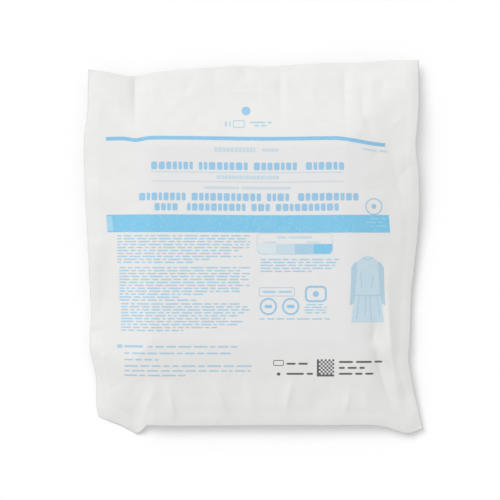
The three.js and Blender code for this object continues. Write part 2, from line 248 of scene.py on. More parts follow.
# Finer creases of the front sheet, and one low ridge along its upper right edge
FINE_CREASES = (
    Crease(-84, 116, -38, 142, 7, 4, 0.8, 0.4, Fold.CRISP),
    Crease(-38, 142, 22, 137, 2, 4, 0.6, 0.3, Fold.CRISP),
    Crease(-48, 125, -60, 104, 1, 3.5, -0.5, 0.4, Fold.CRISP),
    Crease(-60, 158, -66, 128, 1, 3.5, -0.5, 0.3, Fold.CRISP),
    Crease(-94, 160, -90, 118, 0, 3.5, 0.5, 0.4, Fold.CRISP),
    Crease(4, 160, 2, 120, 0, 3, -0.4, 0.4, Fold.CRISP),
    Crease(29, 166, 32, 112, 0, 3.5, 0.5, 0.3, Fold.CRISP),
    Crease(52, 160, 57, 118, -1, 4, 0.5, 0.4, Fold.CRISP),
    Crease(106, 160, 108, 124, 0, 4, 0.6, 0.3, Fold.CRISP),
    Crease(120, 160, 112, 126, 0, 4, -0.5, 0.4, Fold.CRISP),
    Crease(148, 162, 152, 30, 0, 15, 4.6, 0.45),
    Crease(-128, 150, -122, 104, 2, 4, 0.6, 0.4, Fold.CRISP),
    Crease(-140, 128, -124, 92, 0, 4, -0.5, 0.4, Fold.CRISP),
    Crease(-149, 57, -134, 38, 0, 3, -0.7, 0.3, Fold.CRISP),
    Crease(-134, 60, -118, 20, 2, 4, 0.5, 0.4, Fold.CRISP),
    Crease(-146, 10, -132, -8, 0, 4, 0.5, 0.4),
    Crease(-143, -20, -131, -52, 1, 3, 0.7, 0.5, Fold.CRISP),
    Crease(-142, -96, -122, -104, 0, 4, 0.6, 0.4, Fold.CRISP),
    Crease(-140, -132, -104, -108, -3, 5, -0.6, 0.4, Fold.CRISP),
    Crease(-120, -156, -100, -116, -2, 3.5, 0.6, 0.4, Fold.CRISP),
    Crease(-66, -112, -54, -156, 0, 4, 0.4, 0.6, Fold.CRISP),
    Crease(-54, -122, -38, -158, 0, 3.5, -0.7, 0.4, Fold.CRISP),
    Crease(-16, -112, -6, -148, 1, 3.5, -0.5, 0.5, Fold.CRISP),
    Crease(14, -112, 20, -152, -1, 3.5, 0.4, 0.6, Fold.CRISP),
    Crease(66, -112, 72, -152, 1, 3.5, -0.4, 0.5, Fold.CRISP),
    Crease(98, -122, 104, -158, 0, 4, 0.8, 0.5, Fold.CRISP),
    Crease(112, -92, 138, -122, -3, 3, -0.6, 0.4, Fold.CRISP),
    Crease(122, -86, 131, -112, 0, 3, -0.9, 0.5, Fold.CRISP),
    Crease(126, -96, 148, -148, 2, 3, 0.9, 0.5, Fold.CRISP),
    Crease(118, -40, 138, -62, 1, 3.5, -0.6, 0.4, Fold.CRISP),
    Crease(124, 12, 142, 4, 0, 4, 0.5, 0.5, Fold.CRISP),
    Crease(128, 60, 146, 78, 0, 3, -0.7, 0.5, Fold.CRISP),
    Crease(126, 90, 146, 70, 2, 4, 0.4, 0.4, Fold.CRISP),
    Crease(118, 106, 142, 128, -2, 4, 0.6, 0.4, Fold.CRISP),
    Crease(100, 74, 124, 86, 4, 4, -0.5, 0.5, Fold.CRISP),
    Crease(90, 30, 120, 52, 4, 6, 0.35, 0.5),
    Crease(-118, -96, -60, -112, 5, 6, 0.35, 0.4),
    Crease(20, -84, 96, -94, -4, 7, -0.3, 0.5),
    Crease(-40, -96, 10, -86, 3, 6, 0.3, 0.5),
)

# Finer creases of the back sheet
FINE_BACK_CREASES = (
    Crease(-148, 90, -124, 84, 1, 3, 0.6, 0.4, Fold.CRISP),
    Crease(-147, 12, -126, 20, 0, 3.5, -0.6, 0.4),
    Crease(-140, -76, -120, -64, 1, 3, 0.5, 0.4, Fold.CRISP),
    Crease(126, 104, 148, 96, 0, 3, -0.6, 0.5, Fold.CRISP),
    Crease(124, 20, 146, 10, 1, 3.5, 0.5, 0.5),
    Crease(122, -88, 142, -96, 1, 3, 0.6, 0.5, Fold.CRISP),
    Crease(-96, -122, -104, -152, 0, 3.5, 0.6, 0.5),
    Crease(8, -122, 14, -152, 1, 3, -0.6, 0.5, Fold.CRISP),
    Crease(58, -122, 66, -152, 0, 3, 0.6, 0.5, Fold.CRISP),
    Crease(-20, 130, -14, 148, 0, 3.5, 0.5, 0.5),
    Crease(88, 130, 92, 150, 0, 3, -0.5, 0.5, Fold.CRISP),
)

CRISP_ROUNDING = 0.7  # how round the crest of a crisp crease is


def smoothstep(low: float, high: float, value: Array) -> Array:
    """Rises from 0 at low to 1 at high, level at both ends."""
    t = np.clip((value - low) / (high - low), 0, 1)
    return t * t * (3 - 2 * t)


def soft_min(a: Array, b: Array, rounding: float) -> Array:
    """The smaller of two distances, rounded where they are nearly alike."""
    mix = np.clip(0.5 + 0.5 * (b - a) / rounding, 0, 1)
    return b + (a - b) * mix - rounding * mix * (1 - mix)


def crease_height(creases: tuple[Crease, ...], x: Array, y: Array) -> Array:
    """Adds up the creases of a table.

    Args:
        creases: the table.
        x: places in plan.
        y: places in plan.

    Returns:
        The height that the creases give at each place.
    """
    height = np.zeros_like(x)
    for crease in creases:
        run_x = crease.x2 - crease.x1
        run_y = crease.y2 - crease.y1
        long = math.hypot(run_x, run_y)
        along = ((x - crease.x1) * run_x + (y - crease.y1) * run_y) / long**2
        t = np.clip(along, 0, 1)
        bend = crease.bow * 4 * t * (1 - t)
        off = ((y - crease.y1) * run_x - (x - crease.x1) * run_y) / long - bend
        before = t / max(crease.peak, 1e-6)
        after = (1 - t) / (1 - crease.peak)
        taper = smoothstep(0, 1, np.where(t < crease.peak, before, after))
        if crease.fold is Fold.SOFT:
            across = np.exp(-((off / crease.width) ** 2))
        else:
            rounded = np.sqrt(off**2 + CRISP_ROUNDING**2) - CRISP_ROUNDING
            across = np.exp(-rounded / crease.width)
        reached = (along < 1) & ((along >= 0) | (crease.peak == 0))
        height += np.where(reached, crease.lift * taper * across, 0)
    return height


def rumple(x: Array, y: Array, size: float, seed: int) -> Array:
    """A soft random surface, the sum of waves that run every way.

    Args:
        x: places in plan.
        y: places in plan.
        size: the middle wavelength.
        seed: picks the waves.

    Returns:
        A value at each place, mostly between -1 and 1.
    """
    rng = np.random.default_rng(seed)
    total = np.zeros_like(x)
    waves = 28
    for _ in range(waves):
        angle = rng.uniform(0, 2 * math.pi)
        number = 2 * math.pi / (size * rng.uniform(0.6, 1.7))
        phase = rng.uniform(0, 2 * math.pi)
        total += np.cos((x * math.cos(angle) + y * math.sin(angle)) * number + phase)
    return total / math.sqrt(waves)


@dataclass(frozen=True)
class PouchForm:
    """The shape of the filled pouch: where each sheet runs, in millimetres."""

    bottom_left: Point = (-142.2, -154.3)
    bottom_right: Point = (153.6, -165.2)
    top_left: Point = (-151.3, 162.4)
    top_right: Point = (149.5, 170.3)
    across: float = 298  # nominal width, for distances in from an edge
    up: float = 326  # nominal height, for the same
    edge_reach: float = 0.3  # share of the sheet over which an edge's waves die out
    edge_fade: float = 1.3  # how fast they do
    side_seal: float = 9
    bottom_seal: float = 10
    top_seal: float = 22  # the peel flaps and the seal below them
    seal_blur: float = 0.6  # how softly the seals begin and end
    touching: float = 4  # how far in from the seals the sheets still touch
    flap: float = 11
    flap_opening: float = 2.2
    flap_steady: float = 0.65  # share of the opening that is even along the flaps
    flap_wavy: float = 0.35  # share that comes and goes
    flap_waves: float = 17  # radians across the pouch, for the same
    corner_rounding: float = 14
    gown_x: float = -4.8
    gown_y: float = 3.6
    gown_half_width: float = 126
    gown_half_height: float = 127
    gown_corner: float = 26
    top_rim: float = 24.35  # of the front sheet over the gown's edge
    crown: float = 2.6  # more than that in the middle
    front_shoulder: float = 40
    back_shoulder: float = 5
    front_fullness: float = 1.45
    back_fullness: float = 2.2
    front_start: float = 0.28  # softens the bend where the front sheet leaves its seals
    back_start: float = 0.06
    seal_climb: float = 4.5  # how far the sheets climb, edge to contents, before they part
    side_climb_reach: float = 20
    bottom_climb_reach: float = 22
    top_climb_reach: float = 36
    climb_rounding: float = 0.5
    seam_drop: float = 0.85  # thin sheets meet lower than the solids' thick ones
    sheet: float = 0.25  # thickness of each sheet
    seam_gap: float = 0.04
    solid_face: float = 1.15  # from a solid sheet's seam to its outer face
    crinkle_size: float = 52  # middle wavelength of the small random creases
    crinkle_level: float = 0.06  # their height where the sheet is level
    crinkle_side: float = 0.3  # how much more it is on the sloping sides
    crinkle_line: float = 0.7  # how far they stand out as lines between smoother patches
    crinkle_soft: float = 0.01  # rounds those lines
    fine_crinkle_size: float = 20
    fine_crinkle_level: float = 0.03
    fine_crinkle_side: float = 0.04
    back_crinkle_size: float = 17
    back_crinkle: float = 0.5
    shade_wander: float = 5  # how far the edge of the gown's blue shade strays
    shade_wander_size: float = 70
    shade_start: float = 2  # where that shade starts, outside the gown's edge
    shade_full: float = -46  # where it is full, inside that edge
    header_clear: float = 128  # how far up the sheet the shade is gone
    header_shaded: float = 92  # how far up it is still full

    @property
    def face(self) -> float:
        """How far a sheet's outer face is from the seam's middle."""
        return self.sheet + self.seam_gap / 2

    def nearness(self, share: Array) -> Array:
        """How strongly an edge's waves are felt at a share of the sheet in from it."""
        return (1 - np.minimum(share / self.edge_reach, 1)) ** self.edge_fade

    def plan(self, u: Array, v: Array) -> tuple[Array, Array]:
        """Places points of the sheet in plan.

        Args:
            u: from the left edge, 0 to 1.
            v: from the bottom edge, 0 to 1.

        Returns:
            x and y.
        """
        corners = zip(self.bottom_left, self.bottom_right, self.top_left, self.top_right)
        x, y = [
            (1 - v) * ((1 - u) * a + u * b) + v * ((1 - u) * c + u * d) for a, b, c, d in corners
        ]
        x = x + RIGHT_EDGE.column("out", v) * self.nearness(1 - u)
        x = x - LEFT_EDGE.column("out", v) * self.nearness(u)
        y = y + TOP_EDGE.column("out", u) * self.nearness(1 - v)
        y = y - BOTTOM_EDGE.column("out", u) * self.nearness(v)
        return x, y

    def from_sides(self, u: Array) -> Array:
        """Distance in from the nearer side, rounded along the middle."""
        return soft_min(u * self.across, (1 - u) * self.across, self.corner_rounding)

    def climb(self, u: Array, v: Array) -> Array:
        """Works out how far the seals have climbed from the sheets' edges.

        Args:
            u: from the left edge, 0 to 1.
            v: from the bottom edge, 0 to 1.

        Returns:
            Their climb, seal_climb at most.
        """
        across = self.from_sides(u) / self.side_climb_reach
        bottom = v * self.up / self.bottom_climb_reach
        up = soft_min(bottom, (1 - v) * self.up / self.top_climb_reach, self.climb_rounding)
        share = np.clip(soft_min(across, up, self.climb_rounding), 0, 1)
        return self.seal_climb * (1 - (1 - share) ** 2)

    def seam_height(self, u: Array, v: Array) -> Array:
        """Carries the height of the seam in over the whole sheet, from the nearest edges.

        Args:
            u: from the left edge, 0 to 1.
            v: from the bottom edge, 0 to 1.

        Returns:
            The height.
        """
        edges = (
            (LEFT_EDGE.column("rise", v), u * self.across),
            (RIGHT_EDGE.column("rise", v), (1 - u) * self.across),
            (BOTTOM_EDGE.column("rise", u), v * self.up),
            (TOP_EDGE.column("rise", u), (1 - v) * self.up),
        )
        weights = [1 / (away + 1) ** 2 for _, away in edges]
        total = sum(rise * weight for (rise, _), weight in zip(edges, weights))
        return total / sum(weights) - self.seam_drop + self.climb(u, v)

    def inside_seals(self, u: Array, v: Array) -> Array:
        """Measures in from the inner line of the seals.

        Args:
            u: from the left edge, 0 to 1.
            v: from the bottom edge, 0 to 1.

        Returns:
            The distance, 0 on the seals and outside them.
        """
        from_bottom = v * self.up - self.bottom_seal
        from_top = (1 - v) * self.up - self.top_seal
        up = soft_min(from_bottom, from_top, self.corner_rounding)
        across = self.from_sides(u) - self.side_seal
        return np.maximum(soft_min(across, up, self.corner_rounding), 0)

    def outside_gown(self, x: Array, y: Array) -> Array:
        """Measures out from the folded gown's edge in plan.

        Args:
            x: places in plan.
            y: places in plan.

        Returns:
            The distance, less than zero inside the edge.
        """
        right = np.abs(x - self.gown_x) - self.gown_half_width + self.gown_corner
        up = np.abs(y - self.gown_y) - self.gown_half_height + self.gown_corner
        outer = np.hypot(np.maximum(right, 0), np.maximum(up, 0))
        return outer + np.minimum(np.maximum(right, up), 0) - self.gown_corner

    def fill_share(self, u: Array, v: Array, shoulder: float, start: float) -> Array:
        """How far up the side of the filled pouch a point lies.

        Args:
            u: from the left edge, 0 to 1.
            v: from the bottom edge, 0 to 1.
            shoulder: how far inside the gown's edge the sheet levels off.
            start: how softly it leaves the seals.

        Returns:
            0 at the seals, and 1 where the sheet levels off.
        """
        inside = self.inside_seals(u, v)
        outside = np.maximum(self.outside_gown(*self.plan(u, v)) + shoulder, 0)
        whole = inside + outside
        share = inside / np.where(whole == 0, 1, whole)
        return (1 + start) * share**2 / (share + start)

    def top_height(self, x: Array, y: Array) -> Array:
        """Works out the height that the front sheet levels off at.

        Args:
            x: places in plan.
            y: places in plan.

        Returns:
            The height, greatest over the gown's middle.
        """
        right = np.clip((x - self.gown_x) / self.gown_half_width, -1, 1)
        up = np.clip((y - self.gown_y) / self.gown_half_height, -1, 1)
        return self.top_rim + self.crown * (1 - right**2) * (1 - up**2)

    def flap_gap(self, u: Array, v: Array) -> Array:
        """Works out half the gap between the sheets above the top seal, where they are peel flaps.

        Args:
            u: from the left edge, 0 to 1.
            v: from the bottom edge, 0 to 1.

        Returns:
            Half the gap, 0 below the flaps.
        """
        above = np.clip((self.flap - (1 - v) * self.up) / self.flap, 0, 1)
        wave = self.flap_steady + self.flap_wavy * np.sin(u * self.flap_waves)
        return self.flap_opening / 2 * wave * above**2

    def crinkle(self, x: Array, y: Array, side: Array) -> Array:
        """Small random creases that part smoother patches of the sheet.

        Args:
            x: places in plan.
            y: places in plan.
            side: 1 on the pouch's sloping sides, 0 where it is level.

        Returns:
            The height that they give.
        """
        patches = rumple(x, y, self.crinkle_size, seed=5)
        lines = np.sqrt(patches**2 + self.crinkle_soft) - self.crinkle_line
        fine = rumple(x, y, self.fine_crinkle_size, seed=8)
        fine_height = self.fine_crinkle_level + self.fine_crinkle_side * side
        return (self.crinkle_level + self.crinkle_side * side) * lines + fine_height * fine

    def front(self, u: Array, v: Array) -> Array:
        """The front sheet's outer face less its thickness.

        Args:
            u: from the left edge, 0 to 1.
            v: from the bottom edge, 0 to 1.

        Returns:
            Points, one row for each.
        """
        x, y = self.plan(u, v)
        seam = self.seam_height(u, v)
        share = self.fill_share(u, v, self.front_shoulder, self.front_start)
        swell = 1 - (1 - share) ** self.front_fullness
        side = 1 - np.abs(2 * swell - 1)
        level = self.top_height(x, y) + self.solid_face - self.face - self.seam_drop
        z = seam + (level - seam) * swell
        z = z + crease_height(MAIN_CREASES, x, y) + crease_height(FINE_CREASES, x, y)
        z = z + self.crinkle(x, y, side)
        z = np.maximum(z, self.face) + self.flap_gap(u, v)
        return np.stack([x, y, z], axis=1)

    def back(self, u: Array, v: Array) -> Array:
        """The back sheet's outer face less its thickness.

        Args:
            u: from the left edge, 0 to 1.
            v: from the bottom edge, 0 to 1.

        Returns:
            Points, one row for each.
        """
        x, y = self.plan(u, v)
        seam = self.seam_height(u, v)
        share = self.fill_share(u, v, self.back_shoulder, self.back_start)
        front_share = self.fill_share(u, v, self.front_shoulder, self.front_start)
        swell = 1 - (1 - share) ** self.back_fullness
        side = 1 - np.abs(2 * (1 - (1 - front_share) ** self.front_fullness) - 1)
        shared = crease_height(MAIN_CREASES, x, y) + crease_height(FINE_CREASES, x, y)
        shared = (shared + self.crinkle(x, y, side)) * (1 - share) ** 2
        own = crease_height(BACK_CREASES, x, y) + crease_height(FINE_BACK_CREASES, x, y)
        own = own + self.back_crinkle * rumple(x, y, self.back_crinkle_size, seed=21)
        z = seam + (self.face - seam) * swell + shared + own * 4 * share * (1 - share)
        z = np.maximum(z, self.face) - self.flap_gap(u, v)
        return np.stack([x, y, z], axis=1)

    def over_gown(self, x: Array, y: Array) -> Array:
        """Says how strongly the gown inside shades the sheet at a place.

        Args:
            x: places in plan.
            y: places in plan.

        Returns:
            1 well inside the gown's edge, and 0 clear of it.
        """
        wander = self.shade_wander * rumple(x, y, self.shade_wander_size, seed=3)
        below_header = smoothstep(self.header_clear, self.header_shaded, y + 0.5 * wander)
        inside = smoothstep(self.shade_start, self.shade_full, self.outside_gown(x, y) + wander)
        return inside * below_header

    def on_seal(self, u: Array, v: Array) -> Array:
        """Says where the heat seals are, less the flaps above them.

        Args:
            u: from the left edge, 0 to 1.
            v: from the bottom edge, 0 to 1.

        Returns:
            1 on the seals and 0 off them.
        """
        sealed = smoothstep(self.seal_blur, 0, self.inside_seals(u, v))
        below = (1 - v) * self.up
        return sealed * smoothstep(self.flap - self.seal_blur, self.flap + self.seal_blur, below)

    def two_layers(self, u: Array, v: Array) -> Array:
        """Says where the sheets touch: 1 on the seals and flaps, 0 once the sheets have parted."""
        return smoothstep(self.touching, 0, self.inside_seals(u, v))


FORM = PouchForm()


# Finishes


class Socket(NamedTuple):
    """One end of a node group, and the number or colour that it starts with."""

    name: str
    kind: str
    start: float | tuple[float, ...] | None = None


def node_group(name: str, inputs: list[Socket], outputs: list[Socket]) -> bpy.types.NodeTree:
    """Makes an empty shader node group with its ends in place.

    Args:
        name: the group's name.
        inputs: its inputs.
        outputs: its outputs.

    Returns:
        The group, with nodes named Inputs and Outputs.
    """
    tree = bpy.data.node_groups.new(name, "ShaderNodeTree")
    for direction, sockets in (("INPUT", inputs), ("OUTPUT", outputs)):
        for socket in sockets:
            made = tree.interface.new_socket(
                name=socket.name, in_out=direction, socket_type=socket.kind
            )
            if socket.start is not None:
                made.default_value = socket.start
    tree.nodes.new("NodeGroupInput").name = "Inputs"
    tree.nodes.new("NodeGroupOutput").name = "Outputs"
    return tree


class Wiring:
    """Places nodes in a tree and joins them, in short calls."""

    def __init__(self, tree: bpy.types.NodeTree) -> None:
        """Keeps the tree."""
        self.tree = tree

    def node(self, kind: str, **settings: object) -> bpy.types.Node:
        """Adds a node.

        Args:
            kind: Blender's name for its kind.
            settings: its settings, by name.

        Returns:
            The node.
        """
        made = self.tree.nodes.new(kind)
        for name, value in settings.items():
            setattr(made, name, value)
        return made

    def join(self, start: bpy.types.NodeSocket, end: bpy.types.NodeSocket) -> None:
        """Joins two sockets."""
        self.tree.links.new(start, end)

    def value(self, socket: bpy.types.NodeSocket, source: object) -> None:
        """Feeds a socket.

        Args:
            socket: the socket to feed.
            source: another socket, or a value.
        """
        if isinstance(source, bpy.types.NodeSocket):
            self.join(source, socket)
        else:
            socket.default_value = source

    def math(self, operation: str, *operands: object, clamp: bool = False) -> bpy.types.NodeSocket:
        """Adds a Math node.

        Args:
            operation: Blender's name for what it works out.
            operands: sockets or numbers.
            clamp: whether its result is kept between 0 and 1.

        Returns:
            Its result.
        """
        made = self.node("ShaderNodeMath", operation=operation, use_clamp=clamp)
        for socket, operand in zip(made.inputs, operands):
            self.value(socket, operand)
        return made.outputs[0]

    def noise(
        self, vector: bpy.types.NodeSocket, scale: object, detail: float, warp: float = 0.0
    ) -> bpy.types.NodeSocket:
        """Adds a Noise Texture.

        Args:
            vector: where it is read.
            scale: how fine it is, a socket or a number.
            detail: how many finer layers it has.
            warp: how much it is distorted.

        Returns:
            Its value.
        """
        made = self.node("ShaderNodeTexNoise")
        self.join(vector, made.inputs["Vector"])
        self.value(made.inputs["Scale"], scale)
        self.value(made.inputs["Detail"], detail)
        self.value(made.inputs["Distortion"], warp)
        return made.outputs["Fac"]

    def mix(self, share: object, first: object, second: object) -> bpy.types.NodeSocket:
        """Adds a colour Mix node.

        Args:
            share: how much of the second colour there is.
            first: the first colour, or a socket.
            second: the second colour, or a socket.

        Returns:
            Its result.
        """
        made = self.node("ShaderNodeMix", data_type="RGBA")
        self.value(made.inputs[0], share)
        self.value(made.inputs[6], first)
        self.value(made.inputs[7], second)
        return made.outputs[2]


FIBRES = "spunbonded_fibres"
SEAL_RIBS = "sealing_jaw_ribs"
MATT_SPECULAR = 0.35


def build_fibre_group() -> bpy.types.NodeTree:
    """Makes the swirling fibres of a spunbonded sheet: cloudy patches crossed by long fine strands.

    Returns:
        The group. Its Cloud is the patches alone, and its Height has the strands as well.
    """
    tree = node_group(
        FIBRES,
        [
            Socket("Vector", "NodeSocketVector"),
            Socket("Cloud Scale", "NodeSocketFloat", 120.0),
            Socket("Strand Scale", "NodeSocketFloat", 700.0),
        ],
        [Socket("Cloud", "NodeSocketFloat"), Socket("Height", "NodeSocketFloat")],
    )
    wire = Wiring(tree)
    ends = tree.nodes["Inputs"].outputs
    cloud = wire.noise(ends["Vector"], ends["Cloud Scale"], detail=4, warp=0.6)
    strands = []
    for turn, stretch in ((0.5, 9.0), (-0.7, 8.0), (1.6, 10.0)):
        mapping = wire.node("ShaderNodeMapping")
        mapping.inputs["Rotation"].default_value = (0, 0, turn)
        mapping.inputs["Scale"].default_value = (1, stretch, 1)
        wire.join(ends["Vector"], mapping.inputs["Vector"])
        scale = wire.math("DIVIDE", ends["Strand Scale"], stretch)
        strands.append(wire.noise(mapping.outputs[0], scale, detail=3, warp=0.9))
    crossed = wire.math("MAXIMUM", wire.math("MAXIMUM", strands[0], strands[1]), strands[2])
    height = wire.math("ADD", wire.math("MULTIPLY", cloud, 0.5), crossed)
    outs = tree.nodes["Outputs"].inputs
    wire.join(cloud, outs["Cloud"])
    wire.join(height, outs["Height"])
    return tree


def build_seal_group() -> bpy.types.NodeTree:
    """Makes the fine crossed ribs that a heat sealer's jaws press into the sheets.

    Returns:
        The group. Its Mask is 1 where the ribs are pressed, and its Pitch is in millimetres.
    """
    tree = node_group(
        SEAL_RIBS,
        [
            Socket("Vector", "NodeSocketVector"),
            Socket("Mask", "NodeSocketFloat", 0.0),
            Socket("Pitch", "NodeSocketFloat", 1.4),
        ],
        [Socket("Height", "NodeSocketFloat")],
    )
    wire = Wiring(tree)
    ends = tree.nodes["Inputs"].outputs
    split = wire.node("ShaderNodeSeparateXYZ")
    wire.join(ends["Vector"], split.inputs[0])
    pitch = wire.math("MULTIPLY", ends["Pitch"], MM)
    ribs = []
    for operation in ("ADD", "SUBTRACT"):
        slant = wire.math(operation, split.outputs["X"], split.outputs["Y"])
        turns = wire.math("MULTIPLY", slant, 2 * math.pi / math.sqrt(2))
        ribs.append(wire.math("SINE", wire.math("DIVIDE", turns, pitch)))
    pressed = wire.math("MULTIPLY", ribs[0], ribs[1])
    height = wire.math("MULTIPLY", pressed, ends["Mask"])
    wire.join(height, tree.nodes["Outputs"].inputs["Height"])
    return tree


class FibrousSurface(Wiring):
    """A new material with its shader, its object coordinates and the fibres of its cloth."""

    def __init__(self, name: str) -> None:
        """Makes the material and its first nodes.

        Args:
            name: the material's name.
        """
        self.material = bpy.data.materials.new(name)
        self.material.use_nodes = True
        super().__init__(self.material.node_tree)
        self.shader = self.tree.nodes["Principled BSDF"]
        self.coordinates = self.node("ShaderNodeTexCoord").outputs["Object"]
        fibres = self.group(FIBRES)
        self.cloud = fibres.outputs["Cloud"]
        self.fibre_height = fibres.outputs["Height"]

    def group(self, name: str) -> bpy.types.Node:
        """Places a node group that reads the object's coordinates.

        Args:
            name: the group's name.

        Returns:
            The group's node.
        """
        made = self.node("ShaderNodeGroup", node_tree=bpy.data.node_groups[name])
        self.join(self.coordinates, made.inputs["Vector"])
        return made

    def mark(self, name: str) -> bpy.types.NodeSocket:
        """Reads one of the sheet's own marks."""
        return self.node("ShaderNodeAttribute", attribute_name=name).outputs["Fac"]

    def past(self, value: bpy.types.NodeSocket, start: float, gain: float) -> bpy.types.NodeSocket:
        """Keeps what of a value is past a start, times a gain, between 0 and 1."""
        over = self.math("SUBTRACT", value, start, clamp=True)
        return self.math("MULTIPLY", over, gain, clamp=True)

    def paint(self, colour: bpy.types.NodeSocket) -> None:
        """Colours the surface."""
        self.join(colour, self.shader.inputs["Base Color"])

    def cloudy_roughness(self, middle: float, spread: float = 0.16) -> bpy.types.NodeSocket:
        """Lets the roughness wander round its middle with the fibres' cloudy patches."""
        wander = self.math("MULTIPLY", self.cloud, spread)
        return self.math("ADD", wander, middle - spread / 2)

    def raise_by(self, height: bpy.types.NodeSocket) -> None:
        """Gives the surface a fine relief.

        Args:
            height: its height in metres.
        """
        bump = self.node("ShaderNodeBump")
        bump.inputs["Distance"].default_value = 1.0
        self.join(height, bump.inputs["Height"])
        self.join(bump.outputs["Normal"], self.shader.inputs["Normal"])


@dataclass(frozen=True)
class SheetFinish:
    """A spunbonded white sheet, a little darker and cooler where the blue gown lies under it."""

    name: str
    clear: Colour
    over_gown: Colour
    two_layers: Colour
    roughness: float
    cloud_contrast: float
    fibre_depth: float  # millimetres
    rib_depth: float = 0.05  # millimetres
    coat: float = 0.0
    cloud_start: float = 0.35
    cloud_gain: float = 1.6
    cloud_share: float = 0.5
    seal_gloss: float = 0.12  # how much less rough the seals are

    def build(self) -> bpy.types.Material:
        """Makes the material.

        Returns:
            The material, which reads the sheet's marks over_gown, on_seal and two_layers.
        """
        surface = FibrousSurface(self.name)
        under = surface.mark("over_gown")
        sealed = surface.mark("on_seal")
        double = surface.mark("two_layers")
        single = surface.mix(under, (*self.clear, 1), (*self.over_gown, 1))
        base = surface.mix(double, single, (*self.two_layers, 1))
        thin = tuple(channel * (1 - self.cloud_contrast) for channel in self.over_gown)
        cloud = surface.past(surface.cloud, self.cloud_start, self.cloud_gain)
        share = surface.math("MULTIPLY", cloud, self.cloud_share)
        surface.paint(surface.mix(share, base, (*thin, 1)))
        rough = surface.cloudy_roughness(self.roughness)
        shiny = surface.math("SUBTRACT", rough, surface.math("MULTIPLY", sealed, self.seal_gloss))
        surface.join(shiny, surface.shader.inputs["Roughness"])
        ribs = surface.group(SEAL_RIBS)
        surface.join(sealed, ribs.inputs["Mask"])
        fine = surface.math("MULTIPLY", surface.fibre_height, self.fibre_depth * MM)
        pressed = surface.math("MULTIPLY", ribs.outputs["Height"], self.rib_depth * MM)
        surface.raise_by(surface.math("ADD", fine, pressed))
        surface.shader.inputs["Coat Weight"].default_value = self.coat
        surface.shader.inputs["Specular IOR Level"].default_value = MATT_SPECULAR
        return surface.material


FRONT_FINISH = SheetFinish(
    "front_spunbonded_white",
    clear=(0.785, 0.785, 0.771),
    over_gown=(0.778, 0.78, 0.78),
    two_layers=(0.812, 0.812, 0.798),
    roughness=0.6,
    cloud_contrast=0.05,
    fibre_depth=0.05,
)
BACK_FINISH = SheetFinish(
    "back_film_white",
    clear=(0.81, 0.81, 0.8),
    over_gown=(0.78, 0.785, 0.79),
    two_layers=(0.83, 0.83, 0.82),
    roughness=0.45,
    cloud_contrast=0.03,
    fibre_depth=0.03,
    coat=0.1,
)


@dataclass(frozen=True)
class InkFinish:
    """Flexographic ink on the fibrous sheet: thin, a little uneven, and as matt as the sheet."""

    name: str
    colour: Colour
    paper: Colour = (0.80, 0.81, 0.815)
    unevenness: float = 0.3
    roughness: float = 0.5
    fibre_depth: float = 0.03  # millimetres
    speckle_scale: float = 900.0
    speckle_start: float = 0.52
    speckle_gain: float = 6
    cloud_share: float = 0.35

    def build(self) -> bpy.types.Material:
        """Makes the material.

        Returns:
            The material, in which the sheet shows through in specks and patches.
        """
        surface = FibrousSurface(self.name)
        speckle = surface.noise(surface.coordinates, self.speckle_scale, detail=2)
        starved = surface.past(speckle, self.speckle_start, self.speckle_gain * self.unevenness)
        clouded = surface.math("MULTIPLY", surface.cloud, self.cloud_share * self.unevenness)
        share = surface.math("MAXIMUM", starved, clouded)
        surface.paint(surface.mix(share, (*self.colour, 1), (*self.paper, 1)))
        rough = surface.cloudy_roughness(self.roughness)
        surface.join(rough, surface.shader.inputs["Roughness"])
        surface.raise_by(surface.math("MULTIPLY", surface.fibre_height, self.fibre_depth * MM))
        surface.shader.inputs["Specular IOR Level"].default_value = MATT_SPECULAR
        return surface.material


@dataclass(frozen=True)
class GownClothFinish:
    """Matt blue nonwoven cloth with its bonded dot pattern."""

    name: str = "gown_nonwoven"
    colour: Colour = (0.13, 0.30, 0.52)
    dot_pitch: float = 1.6  # millimetres
    dot_size: float = 0.28  # share of the pitch
    dot_scatter: float = 0.15
    dot_depth: float = 0.08  # millimetres
    dot_dark: float = 0.78  # how dark the dots are beside the cloth
    dot_strength: float = 0.6
    cloud_bright: float = 1.25  # how bright the cloth's cloudy patches are
    cloud_lift: float = 0.02
    fibre_depth: float = 0.06  # millimetres
    roughness: float = 0.9
    sheen: float = 0.3

    def build(self) -> bpy.types.Material:
        """Makes the material.

        Returns:
            The material, with its dots pressed in and a little darker.
        """
        surface = FibrousSurface(self.name)
        dots = surface.node("ShaderNodeTexVoronoi", feature="F1")
        surface.join(surface.coordinates, dots.inputs["Vector"])
        dots.inputs["Scale"].default_value = 1 / (self.dot_pitch * MM)
        dots.inputs["Randomness"].default_value = self.dot_scatter
        bonded = surface.math("LESS_THAN", dots.outputs["Distance"], self.dot_size)
        deep = tuple(channel * self.dot_dark for channel in self.colour)
        bright, lift = self.cloud_bright, self.cloud_lift
        pale = tuple(min(channel * bright + lift, 1) for channel in self.colour)
        patchy = surface.mix(surface.cloud, (*self.colour, 1), (*pale, 1))
        share = surface.math("MULTIPLY", bonded, self.dot_strength)
        surface.paint(surface.mix(share, patchy, (*deep, 1)))
        pressed = surface.math("MULTIPLY", bonded, -self.dot_depth * MM)
        fine = surface.math("MULTIPLY", surface.fibre_height, self.fibre_depth * MM)
        surface.raise_by(surface.math("ADD", pressed, fine))
        surface.shader.inputs["Roughness"].default_value = self.roughness
        surface.shader.inputs["Sheen Weight"].default_value = self.sheen
        return surface.material


# The two sheets


